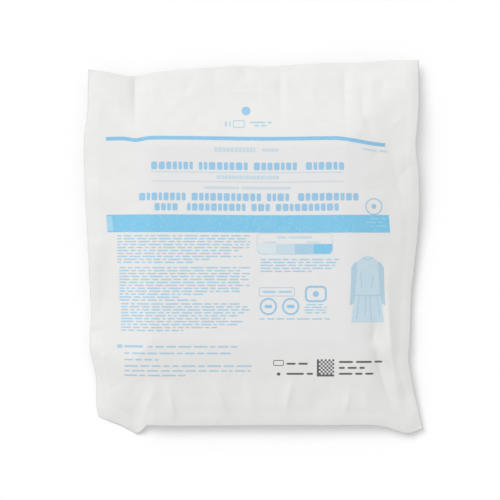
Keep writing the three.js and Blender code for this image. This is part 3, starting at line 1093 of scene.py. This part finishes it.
@dataclass
class Sheet:
    """One sheet of the pouch, as a thin shell over its form."""

    name: str
    node: str
    slot: str
    finish: SheetFinish
    faces_up: bool
    cut: Point = (305, 333)  # millimetres, the mean lengths measured along the form
    columns: int = 150
    rows: int = 164
    slope_step: float = 0.0015  # share of the sheet over which its slope is taken
    middle: Point = (0.0, 0.0)
    piece: bpy.types.Object | None = field(default=None, init=False)

    def surface(self, u: Array, v: Array) -> Array:
        """Works out the sheet's outer face.

        Args:
            u: from the left edge, 0 to 1.
            v: from the bottom edge, 0 to 1.

        Returns:
            Points, one row for each.
        """
        point = FORM.front if self.faces_up else FORM.back
        step = self.slope_step
        across = point(np.minimum(u + step, 1), v) - point(np.maximum(u - step, 0), v)
        up = point(u, np.minimum(v + step, 1)) - point(u, np.maximum(v - step, 0))
        normal = np.cross(across, up)
        normal /= np.linalg.norm(normal, axis=1, keepdims=True)
        return point(u, v) + normal * (FORM.face if self.faces_up else -FORM.face)

    def flat_mesh(self) -> bpy.types.Mesh:
        """Makes the sheet's grid, flat and 1 wide, facing the way that the sheet does.

        Returns:
            The mesh, with its UV map.
        """
        bm = bmesh.new()
        bm.loops.layers.uv.new("UVMap")
        bmesh.ops.create_grid(
            bm, x_segments=self.columns, y_segments=self.rows, size=0.5, calc_uvs=True
        )
        if not self.faces_up:
            bmesh.ops.reverse_faces(bm, faces=bm.faces)
        mesh = bpy.data.meshes.new(self.name)
        bm.to_mesh(mesh)
        bm.free()
        return mesh

    def over_solid(self, points: Array) -> Point:
        """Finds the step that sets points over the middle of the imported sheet.

        Args:
            points: the sheet's points, in millimetres.

        Returns:
            The step in plan, in millimetres.
        """
        low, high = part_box(self.node)
        centre = (low + high) / 2
        span = (points.min(axis=0) + points.max(axis=0)) / 2
        return centre.x / MM - span[0], centre.y / MM - span[1]

    def make(self) -> bpy.types.Object:
        """Builds the shell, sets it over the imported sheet's middle and dresses it.

        Returns:
            The piece.
        """
        mesh = self.flat_mesh()
        flat = np.empty(len(mesh.vertices) * 3)
        mesh.vertices.foreach_get("co", flat)
        u, v = np.clip(flat.reshape(-1, 3)[:, :2].T + 0.5, 0, 1)
        points = self.surface(u, v)
        self.middle = self.over_solid(points)
        points[:, 0] += self.middle[0]
        points[:, 1] += self.middle[1]
        mesh.vertices.foreach_set("co", (points * MM).astype(np.float32).ravel())
        marks = {
            "over_gown": FORM.over_gown(*FORM.plan(u, v)),
            "on_seal": FORM.on_seal(u, v),
            "two_layers": FORM.two_layers(u, v),
        }
        for name, values in marks.items():
            mark = mesh.attributes.new(name, "FLOAT", "POINT")
            mark.data.foreach_set("value", values.astype(np.float32))
        mesh.shade_smooth()
        mesh.materials.append(self.finish.build())
        self.piece = bpy.data.objects.new(self.name, mesh)
        bpy.context.scene.collection.objects.link(self.piece)
        shell = self.piece.modifiers.new("thickness", "SOLIDIFY")
        shell.thickness = FORM.sheet * MM
        shell.offset = -1
        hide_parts(self.node)
        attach(self.piece, "root")
        return self.piece


# The printing on the front


class Ink(Enum):
    """The inks that the front sheet is printed with."""

    BAND = InkFinish("ink_band_blue", (0.17, 0.54, 0.79))
    STRIPE = InkFinish("ink_stripe_blue", (0.19, 0.50, 0.74))
    HEADING = InkFinish("ink_heading_blue", (0.27, 0.54, 0.77))
    TEXT = InkFinish("ink_text_blue", (0.36, 0.60, 0.76))
    BAND_END = InkFinish("ink_band_end_blue", (0.33, 0.63, 0.80))
    PALE = InkFinish("ink_pale_blue", (0.54, 0.69, 0.78))
    FIGURE = InkFinish("ink_figure_blue", (0.42, 0.60, 0.72))
    FAINT = InkFinish("ink_faint_blue", (0.66, 0.76, 0.80))
    GREY = InkFinish("ink_dark_grey", (0.09, 0.09, 0.095), unevenness=0.15)


@dataclass(frozen=True)
class PrintDrift:
    """How far the print lies below its ruled place, where the sheet is drawn into creases."""

    start: float = 32  # how far up the sheet the dip and the fall start
    full: float = 92  # how far up they are whole
    dip: float = 1.9  # at the crease in the upper left
    dip_middle: float = -107
    dip_width: float = 8
    fall: float = 6.2  # at the right side
    fall_start: float = 70
    fall_full: float = 119
    sway: float = 0.5  # a slow wave along the rows
    sway_length: float = 31
    sway_turn: float = 1.2
    sway_start: float = -10
    sway_full: float = 60

    def below(self, x: Array, y: Array) -> Array:
        """Measures the drift.

        Args:
            x: ruled places in plan.
            y: ruled places in plan.

        Returns:
            The distance down the sheet.
        """
        high = smoothstep(self.start, self.full, y)
        dip = self.dip * np.exp(-(((x - self.dip_middle) / self.dip_width) ** 2))
        fall = self.fall * smoothstep(self.fall_start, self.fall_full, x)
        wave = self.sway * np.sin(x / self.sway_length + self.sway_turn)
        return high * (dip + fall) + wave * smoothstep(self.sway_start, self.sway_full, y)


DRIFT = PrintDrift()


class InkLayer:
    """Printed shapes of one ink, drawn flat in plan and then laid on the front sheet.

    Each shape is a patch of cells. Its place function gives the place in plan of a point of the
    patch, from how far along and how far up it the point is, each -0.5 to 0.5.
    """

    cell = 1.2  # millimetres, about the side of a cell
    above_sheet = 0.11  # millimetres
    drop_from = 0.1  # metres, well above the pouch
    pill_cells = 2.6  # the fewest cells along a pill
    pill_tip = 0.4  # the height of a pill's ends, as a share of its own
    block_rounding = 0.1
    block_widths = (0.42, 0.85)  # shares of a block's height
    block_gap = 0.2  # of the same
    block_least = 0.4  # of the same, what has to be left of a row for one more
    dash_lengths = (3.2, 12.5)  # of a dash of the usual height
    usual_dash = 1.15
    dash_gap = 1.35  # of a dash's height
    dash_least = 2  # of the same, what has to be left of a row for one more

    def __init__(self, name: str, ink: Ink) -> None:
        """Starts an empty layer.

        Args:
            name: the piece's name.
            ink: what it is printed with.
        """
        self.name = name
        self.ink = ink
        self.bm = bmesh.new()

    def patch(self, long: float, high: float, place: Place) -> None:
        """Adds a patch of cells.

        Args:
            long: its length, which sets how many cells it has.
            high: its height, for the same.
            place: the patch's place function.
        """
        columns = max(1, round(long / self.cell))
        rows = max(1, round(high / self.cell))
        made = bmesh.ops.create_grid(self.bm, x_segments=columns, y_segments=rows, size=0.5)
        for vertex in made["verts"]:
            x, y = place(vertex.co.x, vertex.co.y)
            vertex.co = (x, y, 0)

    def bar(self, left: float, right: float, bottom: float, top: float) -> None:
        """Adds a plain bar.

        Args:
            left: its left side.
            right: its right side.
            bottom: its lower side.
            top: its upper side.
        """
        wide, high = right - left, top - bottom
        self.patch(wide, high, lambda a, b: (left + (a + 0.5) * wide, bottom + (b + 0.5) * high))

    def pill(self, left: float, right: float, middle: float, height: float) -> None:
        """Adds a bar with rounded ends.

        Args:
            left: its left end.
            right: its right end.
            middle: where its middle line is, up the sheet.
            height: how high it is.
        """
        half = (right - left) / 2
        end = min(height / 2, half)

        def place(a: float, b: float) -> Point:
            """Narrows the bar towards its ends.

            Args:
                a: how far along.
                b: how far up.

            Returns:
                The place in plan.
            """
            x = half * math.sin(math.pi * a) if half < 3 * end else 2 * half * a
            past = max(abs(x) - (half - end), 0) / end
            share = max(self.pill_tip, math.sqrt(max(1 - past**2, 0)))
            return left + half + x, middle + b * height * share

        self.patch(max(right - left, self.pill_cells * self.cell), height, place)

    def disc(self, x: float, y: float, radius: float) -> None:
        """Adds a plain disc.

        Args:
            x: its middle in plan.
            y: its middle in plan.
            radius: its radius.
        """

        def place(a: float, b: float) -> Point:
            """Rounds the square patch to a disc.

            Args:
                a: how far along.
                b: how far up.

            Returns:
                The place in plan.
            """
            across, up = 2 * a, 2 * b
            off_x = radius * across * math.sqrt(1 - up**2 / 2)
            off_y = radius * up * math.sqrt(1 - across**2 / 2)
            return x + off_x, y + off_y

        self.patch(2 * radius, 2 * radius, place)

    def block(self, left: float, right: float, middle: float, height: float) -> None:
        """Adds a small block with slightly rounded corners.

        Args:
            left: its left side.
            right: its right side.
            middle: where its middle line is, up the sheet.
            height: how high it is.
        """
        half_wide, half_high = (right - left) / 2, height / 2

        def place(a: float, b: float) -> Point:
            """Draws the corners in.

            Args:
                a: how far along.
                b: how far up.

            Returns:
                The place in plan.
            """
            across, up = 2 * a, 2 * b
            drawn_in = 1 - self.block_rounding * (across * up) ** 2
            return left + half_wide * (1 + across * drawn_in), middle + half_high * up * drawn_in

        self.patch(2 * self.cell, max(2 * self.cell, height), place)

    def blocks(
        self, left: float, right: float, middle: float, height: float, rng: np.random.Generator
    ) -> None:
        """Adds a row of plain blocks of uneven width, close together.

        Args:
            left: where the row starts.
            right: where it ends.
            middle: where its middle line is, up the sheet.
            height: how high the blocks are.
            rng: gives their widths.
        """
        x = left
        while x < right - self.block_least * height:
            wide = min(rng.uniform(*self.block_widths) * height, right - x)
            self.block(x, x + wide, middle, height)
            x += wide + self.block_gap * height

    def ribbon(self, long: float, thick: float, path: Callable[[float], Point]) -> None:
        """Adds a line of even thickness along a path.

        Args:
            long: about how long the path is.
            thick: the line's thickness.
            path: gives the path's place in plan at a share of its length, 0 to 1.
        """

        def place(a: float, b: float) -> Point:
            """Steps off the path to either side.

            Args:
                a: how far along.
                b: how far up.

            Returns:
                The place in plan.
            """
            t = a + 0.5
            x, y = path(t)
            ahead = path(t + 1e-4)
            run = math.hypot(ahead[0] - x, ahead[1] - y) or 1
            off_x = b * thick * (ahead[1] - y) / run
            off_y = b * thick * (ahead[0] - x) / run
            return x - off_x, y + off_y

        self.patch(long, thick, place)

    def ring(self, x: float, y: float, radius: float, thick: float) -> None:
        """Adds a plain ring.

        Args:
            x: its middle in plan.
            y: its middle in plan.
            radius: the radius of the middle of its line.
            thick: the line's thickness.
        """

        def path(t: float) -> Point:
            """Runs round the ring."""
            turn = 2 * math.pi * t
            return x + radius * math.cos(turn), y + radius * math.sin(turn)

        self.ribbon(2 * math.pi * radius, thick, path)

    def box_line(
        self, left: float, right: float, bottom: float, top: float, round_by: float, thick: float
    ) -> None:
        """Adds the outline of a box with rounded corners.

        Args:
            left: its left side.
            right: its right side.
            bottom: its lower side.
            top: its upper side.
            round_by: the radius of its corners.
            thick: the line's thickness.
        """
        corners = ((right, top, 0.0), (left, top, 0.25), (left, bottom, 0.5), (right, bottom, 0.75))
        path: list[Point] = []
        for corner_x, corner_y, turn in corners:
            x = corner_x - math.copysign(round_by, corner_x - left - 1e-6)
            y = corner_y - math.copysign(round_by, corner_y - bottom - 1e-6)
            for step in range(5):
                angle = 2 * math.pi * (turn + step / 16)
                path.append((x + round_by * math.cos(angle), y + round_by * math.sin(angle)))
        path.append(path[0])
        for (x1, y1), (x2, y2) in zip(path, path[1:]):
            run = math.hypot(x2 - x1, y2 - y1)
            self.ribbon(run, thick, lambda t: (x1 + (x2 - x1) * t, y1 + (y2 - y1) * t))

    def dashes(
        self, left: float, right: float, middle: float, height: float, rng: np.random.Generator
    ) -> None:
        """Adds a row of plain dashes of uneven length.

        Args:
            left: where the row starts.
            right: where it ends.
            middle: where its middle line is, up the sheet.
            height: how high the dashes are.
            rng: gives their lengths.
        """
        x = left
        while x < right - self.dash_least * height:
            long = min(rng.uniform(*self.dash_lengths) * height / self.usual_dash, right - x)
            self.pill(x, x + long, middle, height)
            x += long + self.dash_gap * height

    def lay(self, tree: BVHTree, middle: Point) -> bpy.types.Object:
        """Drops the shapes on the front sheet and makes the piece.

        Args:
            tree: the front sheet as it is shown.
            middle: where the form's own origin lies in the row frame.

        Returns:
            The piece.
        """
        bmesh.ops.remove_doubles(self.bm, verts=self.bm.verts, dist=1e-4)
        for vertex in self.bm.verts:
            x, y = vertex.co.x, vertex.co.y
            y -= float(DRIFT.below(np.array([x]), np.array([y]))[0])
            start = Vector(((x + middle[0]) * MM, (y + middle[1]) * MM, self.drop_from))
            hit, normal, _, _ = tree.ray_cast(start, Vector((0, 0, -1)))
            if hit is None:
                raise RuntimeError(f"{self.name} reaches past the front sheet at {x:.0f}, {y:.0f}")
            vertex.co = hit + normal * self.above_sheet * MM
        mesh = bpy.data.meshes.new(self.name)
        self.bm.to_mesh(mesh)
        self.bm.free()
        mesh.shade_smooth()
        mesh.materials.append(self.ink.value.build())
        piece = bpy.data.objects.new(self.name, mesh)
        bpy.context.scene.collection.objects.link(piece)
        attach(piece, "root")
        return piece


class DashBlock(NamedTuple):
    """Rows of plain dashes that start at one margin."""

    left: float
    top: float
    ends: tuple[float, ...]  # where each row ends


@dataclass
class Printing:
    """The plain bars, dashes, boxes and rings printed on the front."""

    row_pitch: float = 2.66
    dash_height: float = 1.15
    over_other_ink: float = 0.17  # how far above the sheet an ink lies that covers another
    dash_blocks: tuple[DashBlock, ...] = (
        DashBlock(-124.5, 10.6, (-3, -7, -3.5, -4.5, -3, -14, -22, -11, -40, -55)),
        DashBlock(-122.5, -18.2, (-3, -9, -4, -8, -5, -11, -4, -13, -9, -46, -68, -52)),
        DashBlock(-121, -50.9, (-12, -6, -3, -9, -15, -26, -7, -12, -33, -64)),
        DashBlock(5.5, -10.8, (77, 76, 73, 70, 52)),
    )

    def headings(self) -> list[InkLayer]:
        """Lays out the rows of large blocks, the rules between them and the small rows.

        Returns:
            The layers.
        """
        large = InkLayer("print_headings", Ink.HEADING)
        rng = np.random.default_rng(5)
        for left, right, middle, height in (
            (-93, -55.5, 73.6, 7),
            (-50, -6, 73.6, 7),
            (-0.5, 41, 73.6, 7),
            (46.5, 81, 73.6, 7),
            (-104, -62, 45.7, 7),
            (-56.5, 6, 45.7, 7),
            (11.5, 34, 45.7, 7),
            (39.5, 94, 45.7, 7),
            (-90, -66, 36.4, 6.6),
            (-60.5, -8, 36.4, 6.6),
            (-2.5, 14, 36.4, 6.6),
            (19.5, 79, 36.4, 6.6),
        ):
            large.blocks(left, right, middle, height, rng)
        fine = InkLayer("print_rules", Ink.PALE)
        fine.bar(-93, 80.8, 67.6, 68.2)
        fine.bar(-93, 80.8, 59.2, 59.8)
        fine.blocks(-34, 23, 63.6, 3.4, rng)
        fine.blocks(-45, -14, 54, 2.4, rng)
        fine.blocks(-11, 33, 54, 2.4, rng)
        fine.blocks(-36, 3, 88.4, 4.2, rng)
        fine.blocks(7, 22, 88.4, 2.6, rng)
        fine.dashes(98, 121, 92.6, 1.5, rng)
        return [large, fine]

    def stripes(self) -> list[InkLayer]:
        """Lays out the thin upper stripe and the broad band.

        Returns:
            The layers.
        """
        stripe = InkLayer("print_stripe", Ink.STRIPE)
        stripe.bar(-134.6, 118.3, 97, 100.3)
        band = InkLayer("print_band", Ink.BAND)
        band_left, band_right, band_middle, band_height = -134.2, 121.8, 21.5, 15.8
        slant = 1.2

        def place(a: float, b: float) -> Point:
            """Slants the band's ends a little, and the whole of it.

            Args:
                a: how far along.
                b: how far up.

            Returns:
                The place in plan.
            """
            left = band_left + slant * (0.5 - b)
            right = band_right + slant * (0.5 - b)
            return left + (a + 0.5) * (right - left), band_middle + band_height * b - 0.5 * a

        band.patch(band_right - band_left, band_height, place)
        end = InkLayer("print_band_end", Ink.BAND_END)
        end.above_sheet = self.over_other_ink
        end.patch(5.5, 13.6, lambda a, b: (-131 + 5.5 * a - slant * b, 21.75 + 13.6 * b))
        rng = np.random.default_rng(13)
        for left, right, middle in ((104, 119.4, 25.6), (101, 119.6, 22.4), (105, 119.8, 19.2)):
            end.dashes(left, right, middle, 1, rng)
        return [stripe, band, end]

    def dash_rows(self) -> list[InkLayer]:
        """Lays out the blocks of dashes, and the single rows below them.

        Returns:
            The layer.
        """
        text = InkLayer("print_text", Ink.TEXT)
        rng = np.random.default_rng(11)
        for block in self.dash_blocks:
            for row, end in enumerate(block.ends):
                middle = block.top - row * self.row_pitch
                text.dashes(block.left, end, middle, self.dash_height, rng)
        for left, right, middle, height in (
            (-118, -99, -89.4, 1.9),
            (-96, -15, -89.6, 1.3),
            (-118, -18, -95.6, 1.3),
            (-118, -86, -101.4, 1.2),
            (-118, -2.5, -107.2, 1.3),
            (-118, -3.5, -111.6, 1.2),
            (-118, -62, -115.8, 1.2),
        ):
            text.dashes(left, right, middle, height, rng)
        text.pill(-124.5, -119.5, -89.4, 3.4)
        return [text]

    def chart(self) -> list[InkLayer]:
        """Lays out the rounded box with its row of deepening tints.

        Returns:
            The layers.
        """
        left, right, bottom, top = 2.5, 70.6, -5.9, 13
        corner, tints_top = 4.5, 3.2
        line = InkLayer("print_chart_line", Ink.PALE)
        line.box_line(left, right, bottom, top, corner, 0.55)
        line.pill(20, 29, 9.2, 2)
        line.pill(31, 52, 9.2, 2)
        line.pill(8, 20, 4.6, 1.1)
        line.pill(46, 60, 4.6, 1.1)
        layers = [line]
        inks = (Ink.FAINT, Ink.PALE, Ink.TEXT, Ink.BAND)
        for number, ink in enumerate(inks):
            tint = InkLayer(f"print_chart_tint_{number + 1}", ink)
            start = number / len(inks)

            def place(a: float, b: float, start: float = start) -> Point:
                """Follows the box's rounded lower corners.

                Args:
                    a: how far along.
                    b: how far up.
                    start: share of the row at which the tint starts.

                Returns:
                    The place in plan.
                """
                x = left + (right - left) * (start + (a + 0.5) / len(inks))
                into = max(corner - min(x - left, right - x), 0)
                floor = bottom + corner - math.sqrt(max(corner**2 - into**2, 0))
                return x, floor + (b + 0.5) * (tints_top - floor)

            tint.patch((right - left) / len(inks), tints_top - bottom, place)
            layers.append(tint)
        return layers

    def signs(self) -> list[InkLayer]:
        """Lays out the plain rings, discs and boxes, and the small rows by them.

        Returns:
            The layers.
        """
        signs = InkLayer("print_signs", Ink.HEADING)
        signs.ring(108.1, 36.9, 7.3, 0.9)
        signs.disc(108.1, 36.9, 2.2)
        for x in (12.6, 32.8):
            signs.ring(x, -53.2, 7, 1.5)
            signs.block(x - 3.4, x + 3.4, -53.2, 3)
        signs.box_line(46.5, 64.5, -48.4, -35.4, 3.4, 1.6)
        signs.disc(55.5, -41.9, 2.6)
        signs.disc(-7.5, 124.2, 4)
        fine = InkLayer("print_small_lines", Ink.TEXT)
        fine.box_line(4.4, 36.2, -43.8, -36.2, 1.2, 0.5)
        rng = np.random.default_rng(7)
        fine.dashes(7, 34, -40, 1.6, rng)
        for row, (left, right) in enumerate(((47, 64), (45, 66), (44.5, 66.5), (46, 65))):
            fine.dashes(left, right, -51.6 - 2.4 * row, 1.0, rng)
        fine.dashes(4.4, 68.5, -64.4, 1.1, rng)
        fine.dashes(-4, 16, 113.6, 1.3, rng)
        fine.dashes(0, 11, 110.6, 1.1, rng)
        fine.box_line(-19, -9, 108.8, 115.2, 1.2, 0.6)
        fine.pill(-26.5, -25.1, 111.9, 6)
        fine.pill(-22.6, -21.4, 111.9, 5)
        return [signs, fine]

    def gown_figure(self) -> list[InkLayer]:
        """Draws a plain gown from the front: a body that widens to its hem, and hanging sleeves.

        Returns:
            The layers.
        """
        x, hem, shoulder = 102.4, -67.6, -13.6

        def half_width(down: float) -> float:
            """Half the body's width at a share of the way down it."""
            return 9.6 + 5.4 * down**1.4

        def trunk(a: float, b: float) -> Point:
            """Widens the body downwards and rounds its neck and shoulders.

            Args:
                a: how far along.
                b: how far up.

            Returns:
                The place in plan.
            """
            down = 0.5 - b
            round_over = 6 * (1 - down) ** 2 * (1 - 4 * a**2)
            return x + 2 * a * half_width(down), hem + (b + 0.5) * (shoulder - hem) + round_over

        body = InkLayer("print_gown_figure", Ink.PALE)
        body.patch(28, shoulder - hem, trunk)
        sleeves = InkLayer("print_gown_sleeves", Ink.FIGURE)
        for side in (-1, 1):

            def sleeve(a: float, b: float, side: int = side) -> Point:
                """Hangs a sleeve along the body, with a rounded shoulder.

                Args:
                    a: how far out.
                    b: how far up.
                    side: -1 for the left one and 1 for the right one.

                Returns:
                    The place in plan.
                """
                down, out = 0.5 - b, 0.5 + a
                top = shoulder + 0.6 - 5.4 * out**2
                cuff = shoulder - 37 - 1.6 * out
                reach = half_width(0.7 * down) + out * (5.4 - 2 * down)
                return x + side * reach, top + (cuff - top) * down

            sleeves.patch(6, 38, sleeve)
        seams = InkLayer("print_gown_seams", Ink.FIGURE)
        seams.above_sheet = self.over_other_ink
        seams.ribbon(13, 1, lambda t: (x - 4.6 + 9.2 * t, shoulder + 4.6 - 8 * t * (1 - t)))
        seams.ribbon(26, 1, lambda t: (x - 12 + 24 * t, -43 - 2 * t * (1 - t)))
        seams.ribbon(15, 0.7, lambda t: (x - 6.4 + 1.2 * t, shoulder - 8 - 15 * t))
        seams.ribbon(11, 0.7, lambda t: (x + 5.2 - 1.6 * t, shoulder - 12 - 11 * t))
        for start, lean, length in ((-7.6, -2.6, 20), (-1.6, -0.8, 16), (2, 1.6, 22), (9, 2.4, 18)):
            seams.ribbon(length, 0.9, lambda t: (x + start + lean * t, -44.4 - length * t))
        return [body, sleeves, seams]

    def grey_marks(self) -> list[InkLayer]:
        """Lays out the dark grey marks, printed last: dashes, a box and a chequered square.

        Returns:
            The layer.
        """
        grey = InkLayer("print_grey_marks", Ink.GREY)
        rng = np.random.default_rng(2)
        for left, right, middle, height in (
            (29, 53.5, -105, 1.7),
            (29, 53.5, -114.2, 1.7),
            (76.4, 118, -103.4, 1.7),
            (76.4, 100, -108.8, 1.7),
            (76.4, 108, -114.2, 1.7),
        ):
            grey.dashes(left, right, middle, height, rng)
        grey.box_line(17.4, 26.4, -106.6, -102, 0.8, 0.6)
        grey.pill(20.4, 23.6, -114.4, 3)
        square_left, square_bottom = 56.6, -116.6
        cells = 9
        size = 15.6 / cells
        for column in range(cells):
            for row in range(cells):
                if (column + row) % 2 == 0 or row == 0 or column == 0:
                    left = square_left + column * size
                    bottom = square_bottom + row * size
                    grey.bar(left, left + size, bottom, bottom + size)
        return [grey]

    def make(self, front: Sheet) -> list[bpy.types.Object]:
        """Prints every layer on the front sheet.

        Args:
            front: the sheet, already made.

        Returns:
            The printed pieces.
        """
        graph = bpy.context.evaluated_depsgraph_get()
        tree = BVHTree.FromObject(front.piece, graph)
        layers = [
            *self.stripes(),
            *self.headings(),
            *self.dash_rows(),
            *self.chart(),
            *self.signs(),
            *self.gown_figure(),
            *self.grey_marks(),
        ]
        return [layer.lay(tree, front.middle) for layer in layers]


# The gown inside


@dataclass
class FoldedGown:
    """The gown's folded pile, which the solids hold already."""

    node: str = "folded_gown"
    finish: GownClothFinish = GownClothFinish()

    def dress(self) -> bpy.types.Object:
        """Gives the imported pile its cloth.

        Returns:
            The piece.
        """
        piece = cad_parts[self.node]
        piece.data.materials.clear()
        piece.data.materials.append(self.finish.build())
        return piece


# The studio


@dataclass
class Studio:
    """A plain white floor, one large soft lamp high on the upper left, and the camera overhead."""

    view_middle: Point = (-3.87, -2.28)  # millimetres, in the form's plan
    view_width: float = 455  # millimetres
    lens: float = 160
    sensor: float = 36
    edge_height: float = 8  # millimetres, where the view's width is measured
    nearest: float = 0.01  # metres, of what the camera sees
    farthest: float = 50
    floor_size: float = 8  # metres
    floor_drop: float = 0.2  # millimetres below the pouch
    floor_white: float = 0.88
    floor_glow: float = 0.12
    sky: float = 0.64
    sun: float = 1.48
    sun_width: float = 40  # degrees
    sun_tilt: float = 39  # degrees from straight up
    sun_turn: float = 52  # degrees, from the left towards the top

    def camera(self, middle: Point) -> None:
        """Hangs the camera straight above the pouch.

        Args:
            middle: where the form's own origin lies in the row frame.
        """
        data = bpy.data.cameras.new("overhead_camera")
        data.lens = self.lens
        data.sensor_width = self.sensor
        camera = bpy.data.objects.new("overhead_camera", data)
        distance = self.view_width * self.lens / self.sensor + self.edge_height
        x = self.view_middle[0] + middle[0]
        y = self.view_middle[1] + middle[1]
        camera.location = (x * MM, y * MM, distance * MM)
        data.clip_start = self.nearest
        data.clip_end = self.farthest
        bpy.context.scene.collection.objects.link(camera)
        bpy.context.scene.camera = camera

    def floor(self) -> None:
        """Lays the floor just under the pouch."""
        bm = bmesh.new()
        bmesh.ops.create_grid(bm, x_segments=1, y_segments=1, size=self.floor_size / 2)
        mesh = bpy.data.meshes.new("studio_floor")
        bm.to_mesh(mesh)
        bm.free()
        material = bpy.data.materials.new("studio_white")
        material.use_nodes = True
        shader = material.node_tree.nodes["Principled BSDF"]
        white = (self.floor_white, self.floor_white, self.floor_white, 1)
        shader.inputs["Base Color"].default_value = white
        shader.inputs["Roughness"].default_value = 1
        shader.inputs["Specular IOR Level"].default_value = 0
        shader.inputs["Emission Color"].default_value = (1, 1, 1, 1)
        shader.inputs["Emission Strength"].default_value = self.floor_glow
        mesh.materials.append(material)
        floor = bpy.data.objects.new("studio_floor", mesh)
        floor.location = (0, 0, -self.floor_drop * MM)
        bpy.context.scene.collection.objects.link(floor)

    def lights(self) -> None:
        """Lights the scene with an even sky and a broad soft sun from the upper left."""
        world = bpy.data.worlds.new("studio_sky")
        world.use_nodes = True
        background = world.node_tree.nodes["Background"]
        background.inputs["Color"].default_value = (1, 1, 1, 1)
        background.inputs["Strength"].default_value = self.sky
        bpy.context.scene.world = world
        data = bpy.data.lights.new("soft_lamp", "SUN")
        data.energy = self.sun
        data.angle = math.radians(self.sun_width)
        lamp = bpy.data.objects.new("soft_lamp", data)
        turn = math.radians(self.sun_turn)
        tilt = math.radians(self.sun_tilt)
        level = math.sin(tilt)
        towards = Vector((-math.cos(turn) * level, math.sin(turn) * level, math.cos(tilt)))
        lamp.rotation_mode = "QUATERNION"
        lamp.rotation_quaternion = towards.to_track_quat("Z", "Y")
        bpy.context.scene.collection.objects.link(lamp)

    def make(self, middle: Point) -> None:
        """Sets up the camera, floor, lights and plain tones.

        Args:
            middle: where the form's own origin lies in the row frame.
        """
        self.camera(middle)
        self.floor()
        self.lights()
        bpy.context.scene.view_settings.view_transform = "Standard"
        bpy.context.scene.view_settings.look = "None"


def report_piece(piece: bpy.types.Object) -> None:
    """Tells the log what was made."""
    LOG.info("%s: %d faces", piece.name, len(piece.data.polygons))


def main() -> None:
    """Builds the pouch and its studio, and reports each piece."""
    logging.basicConfig(level=logging.INFO, format="%(name)s: %(message)s")
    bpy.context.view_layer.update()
    build_fibre_group()
    build_seal_group()

    front = Sheet(
        "front_sheet",
        "front_web",
        "front_sheet",
        FRONT_FINISH,
        faces_up=True,
        columns=208,
        rows=228,
    )
    report_piece(front.make())
    back = Sheet("back_sheet", "back_web", "back_sheet", BACK_FINISH, faces_up=False)
    report_piece(back.make())
    printed = Printing().make(front)
    for piece in printed:
        report_piece(piece)
    gown = FoldedGown().dress()
    report_piece(gown)
    Studio().make(front.middle)


if __name__ == "__main__":
    main()
